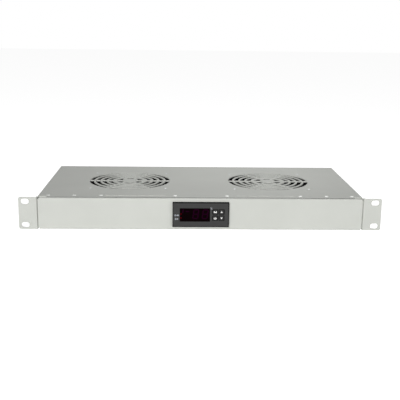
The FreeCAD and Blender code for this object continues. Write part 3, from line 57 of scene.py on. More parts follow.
mm = 0.001
print("stage: frame loaded,", len(nodes), "nodes")

# place, lens and sensor in millimetres, turns in degrees from a level look along +Y, clip in metres
camera = {
    "place": (-33.26, -965.37, 251.0),
    "yaw": 1.866,
    "pitch": 13.522,
    "roll": 0.735,
    "lens": 67.44,
    "sensor": 36.0,
    "clip": (0.05, 50.0),
}

# metres and watts; the key stands low and in front, so that it reaches into the slots of the grilles
studio = {
    "lamps": {
        "key": {"place": (-0.5, -2.0, 0.62), "size": 0.8, "power": 33.0},
        "fill": {"place": (0.8, -1.2, 0.3), "size": 0.6, "power": 3.6},
        "top": {"place": (0.1, 0.26, 0.42), "size": 0.3, "power": 0.7},
    },
    "aim": (0.0, 0.08, 0.0),
    "room": 0.05,
    "floorSize": 12.0,
    "floorDrop": 0.0002,
    "floorGrey": 0.8,
    "floorGlow": 0.92,
}


def placeCamera(values):
    # right, up and back of the view from yaw and pitch, then turned by the roll
    yaw, pitch, roll = (math.radians(values[k]) for k in ("yaw", "pitch", "roll"))
    ahead = np.array([math.sin(yaw) * math.cos(pitch), math.cos(yaw) * math.cos(pitch), -math.sin(pitch)])
    right = np.array([math.cos(yaw), -math.sin(yaw), 0.0])
    up = np.cross(right, ahead)
    turned = (
        math.cos(roll) * right + math.sin(roll) * up,
        math.cos(roll) * up - math.sin(roll) * right,
        -ahead,
    )
    lens = bpy.data.cameras.new("viewCamera")
    lens.lens, lens.sensor_width = values["lens"], values["sensor"]
    lens.clip_start, lens.clip_end = values["clip"]
    holder = bpy.data.objects.new("viewCamera", lens)
    matrix = np.eye(4)
    matrix[:3, :3] = np.array(turned).T
    matrix[:3, 3] = np.array(values["place"]) * mm
    holder.matrix_world = Matrix(matrix.tolist())
    bpy.context.collection.objects.link(holder)
    bpy.context.scene.camera = holder


def areaLight(name, values, target):
    lamp = bpy.data.lights.new(name, "AREA")
    lamp.shape, lamp.size, lamp.energy = "DISK", values["size"], values["power"]
    holder = bpy.data.objects.new(name, lamp)
    aim = Vector(target) - Vector(values["place"])
    holder.rotation_euler = aim.to_track_quat("-Z", "Y").to_euler()
    holder.location = values["place"]
    bpy.context.collection.objects.link(holder)


def linear(hexText):
    # the sRGB curve undone, channel by channel
    channels = [int(hexText[i:i + 2], 16) / 255 for i in (1, 3, 5)]
    return [c / 12.92 if c <= 0.04045 else ((c + 0.055) / 1.055) ** 2.4 for c in channels] + [1.0]


def addNode(tree, kind, settings=None, links=None):
    # one shader node, with its settings (an input by name, or an attribute) and its incoming links
    made = tree.nodes.new(kind)
    for key, value in (settings or {}).items():
        if key in made.inputs:
            made.inputs[key].default_value = value
        else:
            setattr(made, key, value)
    for key, socket in (links or {}).items():
        tree.links.new(socket, made.inputs[key])
    return made


def mixShaders(tree, share, first, second):
    # the first shader where the share is 0, the second where it is 1
    mix = addNode(tree, "ShaderNodeMixShader", None, {"Fac": share})
    tree.links.new(first.outputs[0], mix.inputs[1])
    tree.links.new(second.outputs[0], mix.inputs[2])
    return mix


def whiteForCamera(tree):
    # 1 for the camera, reflections and glass, which see plain white; 0 for light on its way round the room
    path = addNode(tree, "ShaderNodeLightPath")
    share = path.outputs["Is Camera Ray"]
    for ray in ("Is Glossy Ray", "Is Transmission Ray"):
        either = addNode(tree, "ShaderNodeMath", {"operation": "MAXIMUM"})
        tree.links.new(share, either.inputs[0])
        tree.links.new(path.outputs[ray], either.inputs[1])
        share = either.outputs[0]
    return share


def setWorld(strength):
    world = bpy.data.worlds.new("plainRoom")
    world.use_nodes = True
    tree = world.node_tree
    tree.nodes.clear()
    room = addNode(tree, "ShaderNodeBackground", {"Color": (1, 1, 1, 1), "Strength": strength})
    white = addNode(tree, "ShaderNodeBackground", {"Color": (1, 1, 1, 1), "Strength": 1.0})
    mix = mixShaders(tree, whiteForCamera(tree), room, white)
    addNode(tree, "ShaderNodeOutputWorld", None, {"Surface": mix.outputs[0]})
    bpy.context.scene.world = world


def setFloor(values):
    # a white table under the part: the glow keeps it white, the diffuse share takes the part's shadow
    level = cadBox[0][2] - values["floorDrop"]
    half = values["floorSize"] / 2
    corners = [(-half, -half, level), (half, -half, level), (half, half, level), (-half, half, level)]
    mesh = bpy.data.meshes.new("floor")
    mesh.from_pydata(corners, [], [(0, 1, 2, 3)])
    table = bpy.data.objects.new("floor", mesh)
    bpy.context.collection.objects.link(table)
    paint = bpy.data.materials.new("whiteTable")
    paint.use_nodes = True
    tree = paint.node_tree
    tree.nodes.clear()
    grey = values["floorGrey"]
    plain = addNode(tree, "ShaderNodeBsdfDiffuse", {"Color": (grey, grey, grey, 1)})
    glow = addNode(tree, "ShaderNodeEmission", {"Strength": values["floorGlow"]})
    glowing = addNode(tree, "ShaderNodeAddShader")
    tree.links.new(plain.outputs[0], glowing.inputs[0])
    tree.links.new(glow.outputs[0], glowing.inputs[1])
    above = mixShaders(tree, whiteForCamera(tree), plain, glowing)
    # from below it is clear, so that the underside can be looked at
    side = addNode(tree, "ShaderNodeNewGeometry")
    clear = addNode(tree, "ShaderNodeBsdfTransparent")
    shown = mixShaders(tree, side.outputs["Backfacing"], above, clear)
    addNode(tree, "ShaderNodeOutputMaterial", None, {"Surface": shown.outputs[0]})
    mesh.materials.append(paint)


placeCamera(camera)
setWorld(studio["room"])
setFloor(studio)
for lampName, lampValues in studio["lamps"].items():
    areaLight(lampName + "Light", lampValues, studio["aim"])
bpy.context.scene.view_settings.view_transform = "Standard"
print("stage: camera, floor and lights")

paints = {}
noiseValues = {"toneDetail": 3.0, "toneRange": (0.35, 0.65), "grainDetail": 2.0, "grainStrength": 0.3}
# sockets of a mix node that blends colours: three inputs and the output
blendShare, blendFirst, blendSecond, blended = 0, 6, 7, 2


def newMaterial(name, hexText, roughness, metallic=0.0, grain=None, tone=None, gloss=0.5):
    # grain: bump from fine noise, (size, height) in millimetres; tone: slow change of the base colour,
    # (size in millimetres, second colour, most of it); gloss: the mirror share, 0.5 for plain plastic
    paint = bpy.data.materials.new(name)
    paint.use_nodes = True
    tree = paint.node_tree
    tree.nodes.clear()
    shader = addNode(tree, "ShaderNodeBsdfPrincipled",
                     {"Base Color": linear(hexText), "Roughness": roughness, "Metallic": metallic,
                      "Specular IOR Level": gloss})
    addNode(tree, "ShaderNodeOutputMaterial", None, {"Surface": shader.outputs[0]})
    place = addNode(tree, "ShaderNodeTexCoord").outputs["Object"]
    if tone:
        size, secondHex, share = tone
        start, end = noiseValues["toneRange"]
        cloud = addNode(tree, "ShaderNodeTexNoise",
                        {"Scale": 1 / (size * mm), "Detail": noiseValues["toneDetail"]}, {"Vector": place})
        spread = addNode(tree, "ShaderNodeMapRange", {"From Min": start, "From Max": end, "To Max": share},
                         {"Value": cloud.outputs["Fac"]})
        blend = addNode(tree, "ShaderNodeMix", {"data_type": "RGBA"})
        blend.inputs[blendFirst].default_value = linear(hexText)
        blend.inputs[blendSecond].default_value = linear(secondHex)
        tree.links.new(spread.outputs[0], blend.inputs[blendShare])
        tree.links.new(blend.outputs[blended], shader.inputs["Base Color"])
    if grain:
        size, height = grain
        noise = addNode(tree, "ShaderNodeTexNoise",
                        {"Scale": 1 / (size * mm), "Detail": noiseValues["grainDetail"]}, {"Vector": place})
        bump = addNode(tree, "ShaderNodeBump",
                       {"Strength": noiseValues["grainStrength"], "Distance": height * mm},
                       {"Height": noise.outputs["Fac"]})
        tree.links.new(bump.outputs[0], shader.inputs["Normal"])
    paints[name] = paint


# epoxy-polyester powder, baked on: fine orange peel, about 1.5 mm from crest to crest, a soft even shine
newMaterial("powderCoatGrey", "#d2d4ce", 0.5, gloss=0.25, grain=(1.5, 0.02), tone=(60, "#cbcdc7", 0.5))
# steel, zinc plated: bright, slightly blue, with a faint haze
newMaterial("zincPlatedSteel", "#c9ccd0", 0.28, 1.0, grain=(0.4, 0.01), tone=(3, "#b9bcc2", 0.6))
# blind rivets, passivated: dull zinc with a broad weak shine
newMaterial("passivatedZinc", "#d2d4d0", 0.5, 1.0, grain=(0.5, 0.01), tone=(3, "#c6c8c4", 0.5))
# aluminium, die cast and dip coated black: a sandy matt skin
newMaterial("blackCoatedCasting", "#101011", 0.7, gloss=0.1, grain=(0.5, 0.04), tone=(20, "#161617", 0.6))
# glass-filled nylon, moulded: matt black with flow marks
newMaterial("glassFilledNylon", "#0b0b0c", 0.7, gloss=0.1, grain=(0.35, 0.01), tone=(15, "#111112", 0.5))
# steel, ground: bright, with close fine marks
newMaterial("groundSteel", "#b4b5b8", 0.2, 1.0, grain=(0.2, 0.004), tone=(2, "#9fa1a5", 0.5))
# electrical sheet, punched and stacked: dark, uneven from edge to edge
newMaterial("stackedSheet", "#6d6e72", 0.4, 1.0, grain=(0.5, 0.05), tone=(4, "#56575b", 0.7))
# copper wire, enamelled and wound: amber, darker between the turns
newMaterial("enamelledCopper", "#a5592c", 0.3, 1.0, grain=(0.6, 0.1), tone=(1.2, "#7c3c1b", 0.8))
# brass, tinned: pale and warm, lightly clouded
newMaterial("tinnedBrass", "#c6c2b4", 0.3, 1.0, grain=(0.4, 0.01), tone=(3, "#aaa695", 0.5))
# ABS, moulded in a spark-eroded tool: nearly black with a fine even texture
newMaterial("mouldedAbs", "#0b0b0b", 0.6, gloss=0.05, grain=(0.3, 0.015), tone=(12, "#0f0f0f", 0.6))
# silicone rubber, moulded: dull and a little darker than the film round it
newMaterial("mouldedKeys", "#363636", 0.7, gloss=0.1, grain=(0.3, 0.015), tone=(5, "#3a3a3a", 0.5))
# ABS, moulded in a plain tool: black, clouded where the mould filled late
newMaterial("blackAbs", "#121212", 0.6, gloss=0.1, grain=(0.4, 0.015), tone=(12, "#232323", 0.6))
# polyester film, printed dark grey on its back: a matt face of one even tone
newMaterial("printedFilm", "#404040", 0.6, gloss=0.1, grain=(0.25, 0.008), tone=(10, "#434343", 0.5))
# acrylic, cast dark red: nearly black while nothing behind it is lit
newMaterial("tintedAcrylic", "#070102", 0.3, gloss=0.01, tone=(8, "#0b0204", 0.5))
# glass-fibre board, solder masked: green, with the copper's pattern faint under it
newMaterial("solderMaskBoard", "#1f6a35", 0.3, grain=(1.0, 0.02), tone=(2.5, "#2b7c42", 0.6))
# polyester, moulded: a blue relay case, semi-gloss
newMaterial("relayPlastic", "#1c3f80", 0.35, tone=(6, "#193873", 0.5))
# polyamide, moulded: a green terminal strip, semi-gloss
newMaterial("terminalGreen", "#2d7a3d", 0.45, tone=(6, "#276c35", 0.5))
# nylon, moulded without pigment: milky and a little yellow
newMaterial("naturalNylon", "#dcd7c6", 0.4, grain=(0.8, 0.01), tone=(6, "#d0cab6", 0.6))
# vinyl sleeve, drawn: pale and smooth
newMaterial("clearSleeve", "#cfcfc9", 0.3, tone=(4, "#bfbfb8", 0.5))
# PVC, extruded over wire: smooth, with a slow ripple along the lead
newMaterial("blackPvc", "#1a1a1a", 0.45, grain=(1.2, 0.02), tone=(10, "#222222", 0.5))
newMaterial("brownPvc", "#5a3420", 0.45, grain=(1.2, 0.02), tone=(10, "#4f2d1b", 0.5))
newMaterial("bluePvc", "#2a5da8", 0.45, grain=(1.2, 0.02), tone=(10, "#25549a", 0.5))
newMaterial("greenYellowPvc", "#d8c52c", 0.45, grain=(1.2, 0.02))
# stainless steel, drawn: a clean grey shine
newMaterial("drawnStainless", "#c4c4c4", 0.25, 1.0, grain=(0.3, 0.004), tone=(5, "#b2b2b2", 0.5))
# display segments and lamps, cast in epoxy and off: dim purple and dim red behind the window
newMaterial("unlitSegment", "#200018", 0.5, gloss=0.012, tone=(3, "#24001c", 0.5))
newMaterial("unlitLamp", "#480008", 0.5, gloss=0.012, tone=(1.5, "#3a0006", 0.5))
# inks, screen printed: flat, with the mesh's faint grain
newMaterial("whitePrint", "#f1f1ef", 0.5, grain=(0.2, 0.01), tone=(1, "#e6e6e4", 0.5))
newMaterial("blackPrint", "#0a0a0a", 0.6, gloss=0.05, grain=(0.2, 0.01), tone=(1, "#0e0e0e", 0.5))
newMaterial("greyPrint", "#a9adb4", 0.5, grain=(0.2, 0.01), tone=(1, "#9da1a8", 0.5))

stripes = {"green": "#1f8a3a", "yellow": "#d8c52c", "scale": 60.0, "share": 0.5}
# painted shade: a dark line in the powder coat at the groove behind the front panel's top edge, in place of
# its shadow
seamShade = {"place": 2.6, "width": 0.3, "hex": "#1c1c1a"}  # millimetres, along Y


def principled(paint):
    return next(n for n in paint.node_tree.nodes if n.type == "BSDF_PRINCIPLED")


def windStripes(paint, values):
    # green and yellow insulation: slanting bands, green below the share of each wave and yellow above it
    tree = paint.node_tree
    place = addNode(tree, "ShaderNodeTexCoord").outputs["Object"]
    wave = addNode(tree, "ShaderNodeTexWave",
                   {"Scale": values["scale"], "Distortion": 0.0, "bands_direction": "DIAGONAL"},
                   {"Vector": place})
    ramp = addNode(tree, "ShaderNodeValToRGB", None, {"Fac": wave.outputs["Fac"]})
    ramp.color_ramp.interpolation = "CONSTANT"
    green, yellow = ramp.color_ramp.elements
    green.color = linear(values["green"])
    yellow.position, yellow.color = values["share"], linear(values["yellow"])
    tree.links.new(ramp.outputs[0], principled(paint).inputs["Base Color"])


def paintSeamShade(paint, values):
    # painted shade: a dark line on the sheared edge of the top plate behind the front panel's step, standing
    # in for the shadow
    # in the groove there: fully dark up to half the width from the seam's place along Y, then fading to the
    # whole width
    tree = paint.node_tree
    shader = principled(paint)
    colour = shader.inputs["Base Color"].links[0].from_socket
    place = addNode(tree, "ShaderNodeTexCoord").outputs["Object"]
    along = addNode(tree, "ShaderNodeSeparateXYZ", None, {"Vector": place})
    away = addNode(tree, "ShaderNodeMath", {"operation": "SUBTRACT"})
    tree.links.new(along.outputs["Y"], away.inputs[0])
    away.inputs[1].default_value = values["place"] * mm
    distance = addNode(tree, "ShaderNodeMath", {"operation": "ABSOLUTE"})
    tree.links.new(away.outputs[0], distance.inputs[0])
    near = addNode(tree, "ShaderNodeMapRange",
                   {"From Min": values["width"] / 2 * mm, "From Max": values["width"] * mm,
                    "To Min": 1.0, "To Max": 0.0},
                   {"Value": distance.outputs[0]})
    blend = addNode(tree, "ShaderNodeMix", {"data_type": "RGBA"})
    blend.inputs[blendSecond].default_value = linear(values["hex"])
    tree.links.new(near.outputs[0], blend.inputs[blendShare])
    tree.links.new(colour, blend.inputs[blendFirst])
    tree.links.new(blend.outputs[blended], shader.inputs["Base Color"])


windStripes(paints["greenYellowPvc"], stripes)
# the painted shade of the groove, laid into the powder coat
paintSeamShade(paints["powderCoatGrey"], seamShade)

# the nodes of the frame that each material goes on
finishOf = {
    "powderCoatGrey": ("tray_body", "front_panel"),
    "zincPlatedSteel": ("panel_rivets", "fan_screws", "finger_guard_left", "finger_guard_right",
                        "inlet_screws", "inlet_nuts", "earth_stud", "earth_nuts"),
    "blackCoatedCasting": ("fan_frame_left", "fan_frame_right"),
    "glassFilledNylon": ("impeller_left", "impeller_right", "fan_terminals", "fan_plugs"),
    "groundSteel": ("fan_shaft_left", "fan_shaft_right", "fan_bearings", "rotor_ring_left",
                    "rotor_ring_right"),
    "stackedSheet": ("stator_core_left", "stator_core_right", "controller_transformer"),
    "enamelledCopper": ("windings_left", "windings_right"),
    "tinnedBrass": ("fan_tabs", "inlet_pins", "ring_terminal"),
    "mouldedAbs": ("controller_bezel",),
    "mouldedKeys": ("button_set", "button_power", "button_up", "button_down"),
    "blackAbs": ("controller_housing", "controller_clip_left", "controller_clip_right", "display_module",
                 "key_switches", "plunger_set", "plunger_power", "plunger_up", "plunger_down",
                 "terminal_cover", "inlet_body"),
    "printedFilm": ("controller_overlay",),
    "tintedAcrylic": ("display_window",),
    "solderMaskBoard": ("front_board", "main_board"),
    "relayPlastic": ("controller_relay",),
    "terminalGreen": ("terminal_block",),
    "naturalNylon": ("cable_clamps",),
    "clearSleeve": ("tab_sleeves",),
    "blackPvc": ("fan_lead_left", "fan_lead_right", "sensor_lead"),
    "brownPvc": ("live_lead",),
    "bluePvc": ("neutral_lead",),
    "greenYellowPvc": ("earth_lead",),
    "drawnStainless": ("sensor_probe",),
}
for finish, names in finishOf.items():
    for name in names:
        for slot in nodes[name].material_slots:
            slot.material = paints[finish]
print("stage: materials on", sum(len(n) for n in finishOf.values()), "nodes")


def addPiece(name, points, faces, paint, body="chassis", smooth=True, replaces=()):
    # points in millimetres
    mesh = bpy.data.meshes.new(name)
    mesh.from_pydata((np.asarray(points) * mm).tolist(), [], [list(map(int, f)) for f in faces])
    mesh.polygons.foreach_set("use_smooth", [smooth] * len(mesh.polygons))
    mesh.materials.append(paints[paint])
    mesh.update()
    piece = bpy.data.objects.new(name, mesh)
    bpy.context.collection.objects.link(piece)
    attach(piece, body)
    if replaces:
        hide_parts(*replaces)


def turnedRings(radius, height, angle):
    # the point at angle t lies at (radius cos t, radius sin t, height); radius and height may change with t
    radius, height, angle = np.broadcast_arrays(radius, height, angle)
    return np.stack([radius * np.cos(angle), radius * np.sin(angle), height], -1)


def closedRings(rings, startHeight, endHeight):
    # each ring of points joined to the next, the first and the last closed to a point on the axis
    steps = rings.shape[1]
    points = np.vstack([[[0, 0, startHeight]], rings.reshape(-1, 3), [[0, 0, endHeight]]])
    here = 1 + np.arange(rings.shape[0] * steps).reshape(-1, steps)
    after = np.roll(here, -1, 1)
    quads = np.stack([here[:-1], after[:-1], after[1:], here[1:]], -1).reshape(-1, 4)
    start = np.stack([np.zeros(steps, int), after[0], here[0]], -1)
    end = np.stack([here[-1], after[-1], np.full(steps, len(points) - 1)], -1)
    return points, [*quads.tolist(), *start.tolist(), *end.tolist()]


def fullTurn(steps):
    return np.arange(steps) * 2 * np.pi / steps


def revolve(profile, steps):
    # a profile of (radius, height) carried round the axis, its first and last points on the axis
    radius, height = np.array(profile, float).T
    rings = turnedRings(radius[1:-1, None], height[1:-1, None], fullTurn(steps))
    return closedRings(rings, height[0], height[-1])


def repeatAt(points, faces, spots):
    # the same surface moved to each spot
    spots = np.asarray(spots, float)
    everything = (points[None] + spots[:, None]).reshape(-1, 3)
    return everything, [[i + k * len(points) for i in face] for k in range(len(spots)) for face in faces]


def joined(shapes):
    # several surfaces as one, face numbers moved on
    points, faces, count = [], [], 0
    for somePoints, someFaces in shapes:
        points.append(np.asarray(somePoints, float))
        faces += [[i + count for i in face] for face in someFaces]
        count += len(somePoints)
    return np.vstack(points), faces


def boxOf(name):
    # low and high corner of a node, millimetres
    return [np.array(corner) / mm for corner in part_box(name)]


def middle(name):
    # the middle of a node's box and the place of its front, millimetres
    low, high = boxOf(name)
    return (low + high) / 2, low[1]


rivets = {
    "across": (35.0, 134.0, 169.5, 204.0),
    "head": 2.6,
    "rise": 0.48,
    "solidRise": 0.5,  # of the frame's own rivet heads over the plate
    "shank": 1.58,
    "mandrel": 0.9,
    "domeEnd": 1.1,  # times the mandrel's radius
    "lip": 0.98,  # height at the mandrel's mark, times the rise
    "dish": (0.8, 0.6),  # the mark's flat middle: times the mandrel's radius, and times the rise
    "domeSteps": 7,
    "steps": 24,
}


def rivetSurface(values, under, plate):
    # set end, shank, then a dome of radius = head cos t and height = rise sin t over the plate, cut off where
    # the mandrel's mark begins, and that mark's dish
    head, rise, mandrel = values["head"], values["rise"], values["mandrel"]
    t = np.linspace(0, 1, values["domeSteps"]) * np.pi / 2
    dome = np.stack([head * np.cos(t), plate + rise * np.sin(t)], -1)
    dome = dome[dome[:, 0] > mandrel * values["domeEnd"]]
    shank = [(0, under), (values["shank"], under), (values["shank"], plate), (head, plate)]
    dishWidth, dishHeight = values["dish"]
    dished = plate + rise * dishHeight
    mark = [(mandrel, plate + rise * values["lip"]), (mandrel * dishWidth, dished), (0, dished)]
    return revolve([*shank, *dome.tolist(), *mark], values["steps"])


low, high = boxOf("panel_rivets")
rivetRow = (low[1] + high[1]) / 2
spots = [(side * x, rivetRow, 0) for side in (-1, 1) for x in rivets["across"]]
points, faces = repeatAt(*rivetSurface(rivets, low[2], high[2] - rivets["solidRise"]), spots)
addPiece("rivetDomes", points, faces, "passivatedZinc", replaces=("panel_rivets",))
print("stage: rivets")

# profile: (radius, height) from the edge of the recessed middle to the start of the shank, with the head's
# face at height 0; recess: width of its arms, their reach and their depth; play: the frame's heads are wider
fanScrews = {
    "profile": ((2.7, 0.05), (3.3, 0.25), (3.62, 0.6), (3.75, 1.1), (3.75, 2.15), (1.98, 2.15)),
    "thread": 0.22,
    "pitch": 1.4,
    "recess": (0.75, 2.1, 1.3),
    "tip": 0.6,
    "play": 0.05,
}
inletScrews = {
    "profile": ((2.2, 0.0), (2.75, 0.02), (2.75, 0.2), (1.48, 1.5)),
    "thread": 0.15,
    "pitch": 0.5,
    "recess": (0.5, 1.5, 1.0),
    "tip": 0.3,
    "play": 0.05,
}
# where a recess's walls meet the head, in half widths and in reaches, and how steep they are
recessWalls = {"side": (1.25, 3), "end": (1.05, 4)}
screwGrid = {"steps": 32, "faceRings": 14, "innermost": 0.08, "ringsPerPitch": 5, "underHead": 0.02,
             "tipTaper": 0.5}


def crossRecess(radius, angle, values):
    # how far a cross recess sinks the head: full depth inside either arm, none beyond the arms' ends
    width, reach, depth = values["recess"]
    (side, sideSlope), (end, endSlope) = recessWalls["side"], recessWalls["end"]
    x, z = np.abs(radius * np.cos(angle)), np.abs(radius * np.sin(angle))
    across, along = np.minimum(x, z) / (width / 2), np.maximum(x, z) / reach
    return depth * np.clip((side - across) * sideSlope, 0, 1) * np.clip((end - along) * endSlope, 0, 1)


def screwSurface(values, end):
    # grid of height and angle: the head's face, its height rising with the square of the radius and sunk by
    # the recess, the head's rim, then the shank to the end, whose radius is less by the thread's depth times
    # (1 + cos(one turn * height / pitch - angle)) / 2, then a short cone
    angle = fullTurn(screwGrid["steps"])
    (faceRadius, faceHeight), *rim = values["profile"]
    shankRadius, shankStart = rim[-1]
    inner = np.linspace(screwGrid["innermost"], 1.0, screwGrid["faceRings"])[:, None] * faceRadius
    sunk = crossRecess(inner, angle, values) + faceHeight * (inner / faceRadius) ** 2
    rimRadius, rimHeight = np.array(rim, float).T[:, :, None]
    height = np.arange(shankStart + screwGrid["underHead"], end - values["tip"],
                       values["pitch"] / screwGrid["ringsPerPitch"])[:, None]
    swing = 0.5 + 0.5 * np.cos(2 * np.pi * (height / values["pitch"]) - angle)
    small = shankRadius - values["thread"] - values["tip"] * screwGrid["tipTaper"]
    rings = np.concatenate([
        turnedRings(inner, sunk, angle),
        turnedRings(rimRadius, rimHeight, angle),
        turnedRings(shankRadius - values["thread"] * swing, height, angle),
        turnedRings(small, end, angle)[None],
    ])
    return closedRings(rings, values["recess"][2], end)


def fromMiddle(values, edge):
    # the screws' distance from the middle that their heads' outer edge gives
    headRadius = values["profile"][-2][0]
    return edge - headRadius - values["play"]


low, high = boxOf("fan_screws")
fanMiddles = [middle("fan_frame_" + side)[0] for side in ("left", "right")]
reach = fromMiddle(fanScrews, high[0]) - fanMiddles[1][0]
spots = [(fan[0] + sx * reach, fan[1] + sy * reach, low[2])
         for fan in fanMiddles for sx in (-1, 1) for sy in (-1, 1)]
points, faces = repeatAt(*screwSurface(fanScrews, high[2] - low[2]), spots)
addPiece("fanScrews", points, faces, "zincPlatedSteel", replaces=("fan_screws",))

low, high = boxOf("inlet_screws")
points, faces = screwSurface(inletScrews, high[1] - low[1])
toRear = np.array([[1, 0, 0], [0, 0, 1], [0, -1, 0]])  # turns the head from facing down to facing the rear
spots = [(side * fromMiddle(inletScrews, high[0]), 0, 0) for side in (-1, 1)]
points, faces = repeatAt(points @ toRear + (0, high[1], 0), faces, spots)
addPiece("inletScrews", points, faces, "zincPlatedSteel", replaces=("inlet_screws",))
print("stage: screws")

(windowMid, _, windowLevel), lensFace = middle("display_window")
filmFace = boxOf("controller_overlay")[0][1]
proud = {"rise": 0.03, "sunk": 0.02}  # of printing and lamps on their face; the sunk share hides in the face


def flatShape(outline, face, rise=proud["rise"]):
    # a closed outline in X and Z, its front a little proud of the face and its edge carried into it
    outline = np.asarray(outline, float)
    count = len(outline)
    near = np.stack([outline[:, 0], np.full(count, face - rise), outline[:, 1]], -1)
    far = near + (0, rise + proud["sunk"], 0)
    ring = np.arange(count)
    after = np.roll(ring, -1)
    sides = np.stack([after, ring, ring + count, after + count], -1)
    return np.vstack([near, far]), [ring.tolist(), (ring[::-1] + count).tolist(), *sides.tolist()]


def flatBand(outer, inner, face):
    # the strip between two closed outlines with the same number of points: front, back and both edges
    count = len(outer)
    front, back = face - proud["rise"], face + proud["sunk"]
    loops = [np.stack([outline[:, 0], np.full(count, y), outline[:, 1]], -1)
             for outline, y in ((outer, front), (inner, front), (inner, back), (outer, back))]
    here = np.arange(4 * count).reshape(4, count)
    after = np.roll(here, -1, 1)
    faces = [np.stack([here[i], after[i], after[j], here[j]], -1).tolist()
             for i, j in ((0, 1), (1, 2), (2, 3), (3, 0))]
    return np.vstack(loops), sum(faces, [])


def addPrint(name, shapes, paint, body="chassis"):
    # flat shapes as one piece with hard edges
    points, faces = joined(shapes)
    addPiece(name, points, faces, paint, body, smooth=False)


def ellipse(x, z, wide, tall, steps=24, start=0, end=360):
    # points at (x + wide cos t, z + tall sin t), counter-clockwise; a full turn leaves its last point out
    spans = steps if end - start == 360 else steps - 1
    angle = np.radians(start + (end - start) * np.arange(steps) / spans)
    return np.stack([x + wide * np.cos(angle), z + tall * np.sin(angle)], -1)


def openArc(x, z, wide, tall, stroke, start, end, steps=18):
    # a curved stroke: its outer edge one way and its inner edge back
    return np.vstack([ellipse(x, z, wide + stroke / 2, tall + stroke / 2, steps, start, end),
                      ellipse(x, z, wide - stroke / 2, tall - stroke / 2, steps, start, end)[::-1]])


def strip(x, z, width, height, turn=0.0):
    # a rectangle about its middle, turned by degrees
    corner = np.array([(-1, -1), (1, -1), (1, 1), (-1, 1)]) * (width / 2, height / 2)
    c, s = math.cos(math.radians(turn)), math.sin(math.radians(turn))
    return corner @ np.array([[c, s], [-s, c]]) + (x, z)


def roundedBox(x, z, width, height, corner, steps=6):
    # four quarter circles joined by straight sides, counter-clockwise
    quarters = [ellipse(x + sx * (width / 2 - corner), z + sz * (height / 2 - corner), corner, corner,
                        steps, t, t + 90)
                for sx, sz, t in ((1, 1, 0), (-1, 1, 90), (-1, -1, 180), (1, -1, 270))]
    return np.vstack(quarters)


# millimetres from the middle of the window; minus: across, up and length; one: across, top and bottom
digits = {
    "height": 12.0,
    "width": 6.5,
    "stroke": 1.5,
    "gap": 0.12,
    "slant": 0.14,
    "middle": 1.1,
    "places": (1.2, 13.6),
    "minus": (-10.3, 4.8, 5.4),
    "one": (-16.4, 8.2, 2.1),
    "looseGap": 0.1,
}


def segmentBar(start, end, stroke, gap):
    # a bar with pointed ends from start to end, drawn in a little by the gap
    start, end = np.array(start, float), np.array(end, float)
    along = (end - start) / np.linalg.norm(end - start)
    across = np.array([-along[1], along[0]]) * stroke / 2
    first, last = start + along * gap, end - along * gap
    return np.array([first, first + along * stroke / 2 - across, last - along * stroke / 2 - across, last,
                     last - along * stroke / 2 + across, first + along * stroke / 2 + across])


def digitBars(values):
    # seven bars of a digit: the corners are the left and right ends of its top, middle and bottom levels
    half, up = values["width"] / 2, values["height"] / 2
    tl, tr, ml, mr, bl, br = [(x, z) for z in (up, 0, -up) for x in (-half, half)]
    return [segmentBar(p, q, values["stroke"], values["gap"])
            for p, q in ((tl, tr), (tr, mr), (mr, br), (bl, br), (ml, bl), (tl, ml), (ml, mr))]


def leant(outline, x, z):
    # moved to its place on the window, each point shifted by its height times the slant
    outline = outline + (x, z)
    shift = np.outer(outline[:, 1] - digits["middle"], (digits["slant"], 0))
    return outline + shift + (windowMid, windowLevel)


bars = [leant(bar, x, digits["middle"]) for x in digits["places"] for bar in digitBars(digits)]
across, up, length = digits["minus"]
minus = segmentBar((-length / 2, 0), (length / 2, 0), digits["stroke"], digits["looseGap"])
bars.append(leant(minus, across, up))
across, top, bottom = digits["one"]
one = segmentBar((0, bottom), (0, top), digits["stroke"], digits["looseGap"])
bars.append(leant(one, across, 0))
addPrint("displaySegments", [flatShape(bar, lensFace) for bar in bars], "unlitSegment")

lamps = {"across": -18.5, "levels": (1.25, -4.0), "radius": 1.1}
discs = [ellipse(windowMid + lamps["across"], windowLevel + z, lamps["radius"], lamps["radius"])
         for z in lamps["levels"]]
addPrint("indicatorLamps", [flatShape(disc, lensFace) for disc in discs], "unlitLamp")

# flake: across, length and stroke; bars: across, width and height; drop: across, up and its two radii
marks = {
    "across": -24.3,
    "levels": (-0.55, -5.6),
    "flake": (-1.5, 2.9, 0.6),
    "flakeTurns": (0, 60, 120),
    "bars": ((1.65, 2.6, 1.7), (1.1, 2.1, 1.6)),
    "drop": (-1.2, -0.2, 1.0, 0.95),
    "dropSpan": (-220, 40),
    "dropTip": 1.5,
    "dropSteps": 16,
}
# ring: across, up, outer and inner radius; arc: across, up, its two radii and its stroke
degree = {
    "place": (21.8, 8.9),
    "ring": (-0.8, 0.7, 0.6, 0.25),
    "arc": (0.7, -0.2, 0.8, 0.95, 0.45),
    "arcSpan": (50, 310),
}


def faceMarks(values):
    # by the upper lamp a snowflake and a bar, by the lower one a drop and a bar: cooling, and its pause
    x = windowMid + values["across"]
    upper, lower = (windowLevel + z for z in values["levels"])
    away, length, stroke = values["flake"]
    flake = [strip(x + away, upper, length, stroke, turn) for turn in values["flakeTurns"]]
    away, sink, wide, tall = values["drop"]
    curve = ellipse(x + away, lower + sink, wide, tall, values["dropSteps"], *values["dropSpan"])
    drop = np.vstack([curve, [(x + away, lower + values["dropTip"])]])
    upperBar, lowerBar = (strip(x + away, level, width, height)
                          for (away, width, height), level in zip(values["bars"], (upper, lower)))
    return [*flake, upperBar, drop, lowerBar]


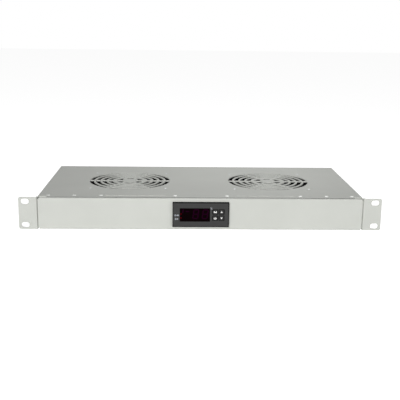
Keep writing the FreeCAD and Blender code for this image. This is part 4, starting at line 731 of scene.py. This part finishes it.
def degreeMark(values):
    # a small ring and an open arc beside it: the unit of temperature
    x, z = windowMid + values["place"][0], windowLevel + values["place"][1]
    across, up, outer, inner = values["ring"]
    edges = [ellipse(x + across, z + up, radius, radius) for radius in (outer, inner)]
    ring = flatBand(*edges, filmFace)
    across, up, wide, tall, stroke = values["arc"]
    return [ring, flatShape(openArc(x + across, z + up, wide, tall, stroke, *values["arcSpan"]), filmFace)]


flatMarks = [flatShape(mark, filmFace) for mark in faceMarks(marks)]
addPrint("faceMarks", flatMarks, "greyPrint")
addPrint("degreeMark", degreeMark(degree), "greyPrint")

# surround and cap: width and height; icons: points from the middle of the cap
keys = {
    "surround": (7.7, 7.3),
    "cap": (5.5, 5.9),
    "gap": 0.15,
    "corner": 0.9,
    "iconRise": 0.02,
    "up": ((-1.6, -1.1), (1.6, -1.1), (0, 1.3)),
    "down": ((-1.6, 1.1), (0, -1.4), (1.6, 1.1)),
    "set": ((-2.0, -1.2), (2.0, -1.2), (2.0, 1.2), (0.9, 1.2), (0.6, 0.1), (-0.6, 0.1), (-0.9, 1.2),
            (-2.0, 1.2)),
    "powerRing": (-0.25, 1.55, 1.05, 0.8),  # up, its two radii and its stroke
    "powerSpan": (-235, 55),
    "powerStroke": (0.45, 0.75, 1.7),  # up, width and height
}


def keyIcon(kind, x, z):
    # up and down: filled triangles; set: a tray; power: a thick ring open at the top, and its stroke
    if kind != "power":
        return [np.array(keys[kind]) + (x, z)]
    up, wide, tall, stroke = keys["powerRing"]
    ring = openArc(x, z + up, wide, tall, stroke, *keys["powerSpan"])
    up, width, height = keys["powerStroke"]
    return [ring, strip(x, z + up, width, height)]


def keySurround(x, z):
    # a frame on the film round the cap, with a small gap to it
    wide, tall = keys["surround"]
    capWide, capTall = (size + 2 * keys["gap"] for size in keys["cap"])
    return flatBand(roundedBox(x, z, wide, tall, keys["corner"]),
                    roundedBox(x, z, capWide, capTall, keys["corner"]), filmFace)


surrounds = []
for name in ("set", "power", "up", "down"):
    (x, _, z), capFace = middle("button_" + name)
    icon = [flatShape(shape, capFace, keys["iconRise"]) for shape in keyIcon(name, x, z)]
    addPrint("icon_" + name, icon, "whitePrint", "key_" + name)
    surrounds.append(keySurround(x, z))
addPrint("keySurrounds", surrounds, "blackPrint")
print("stage: controller face")
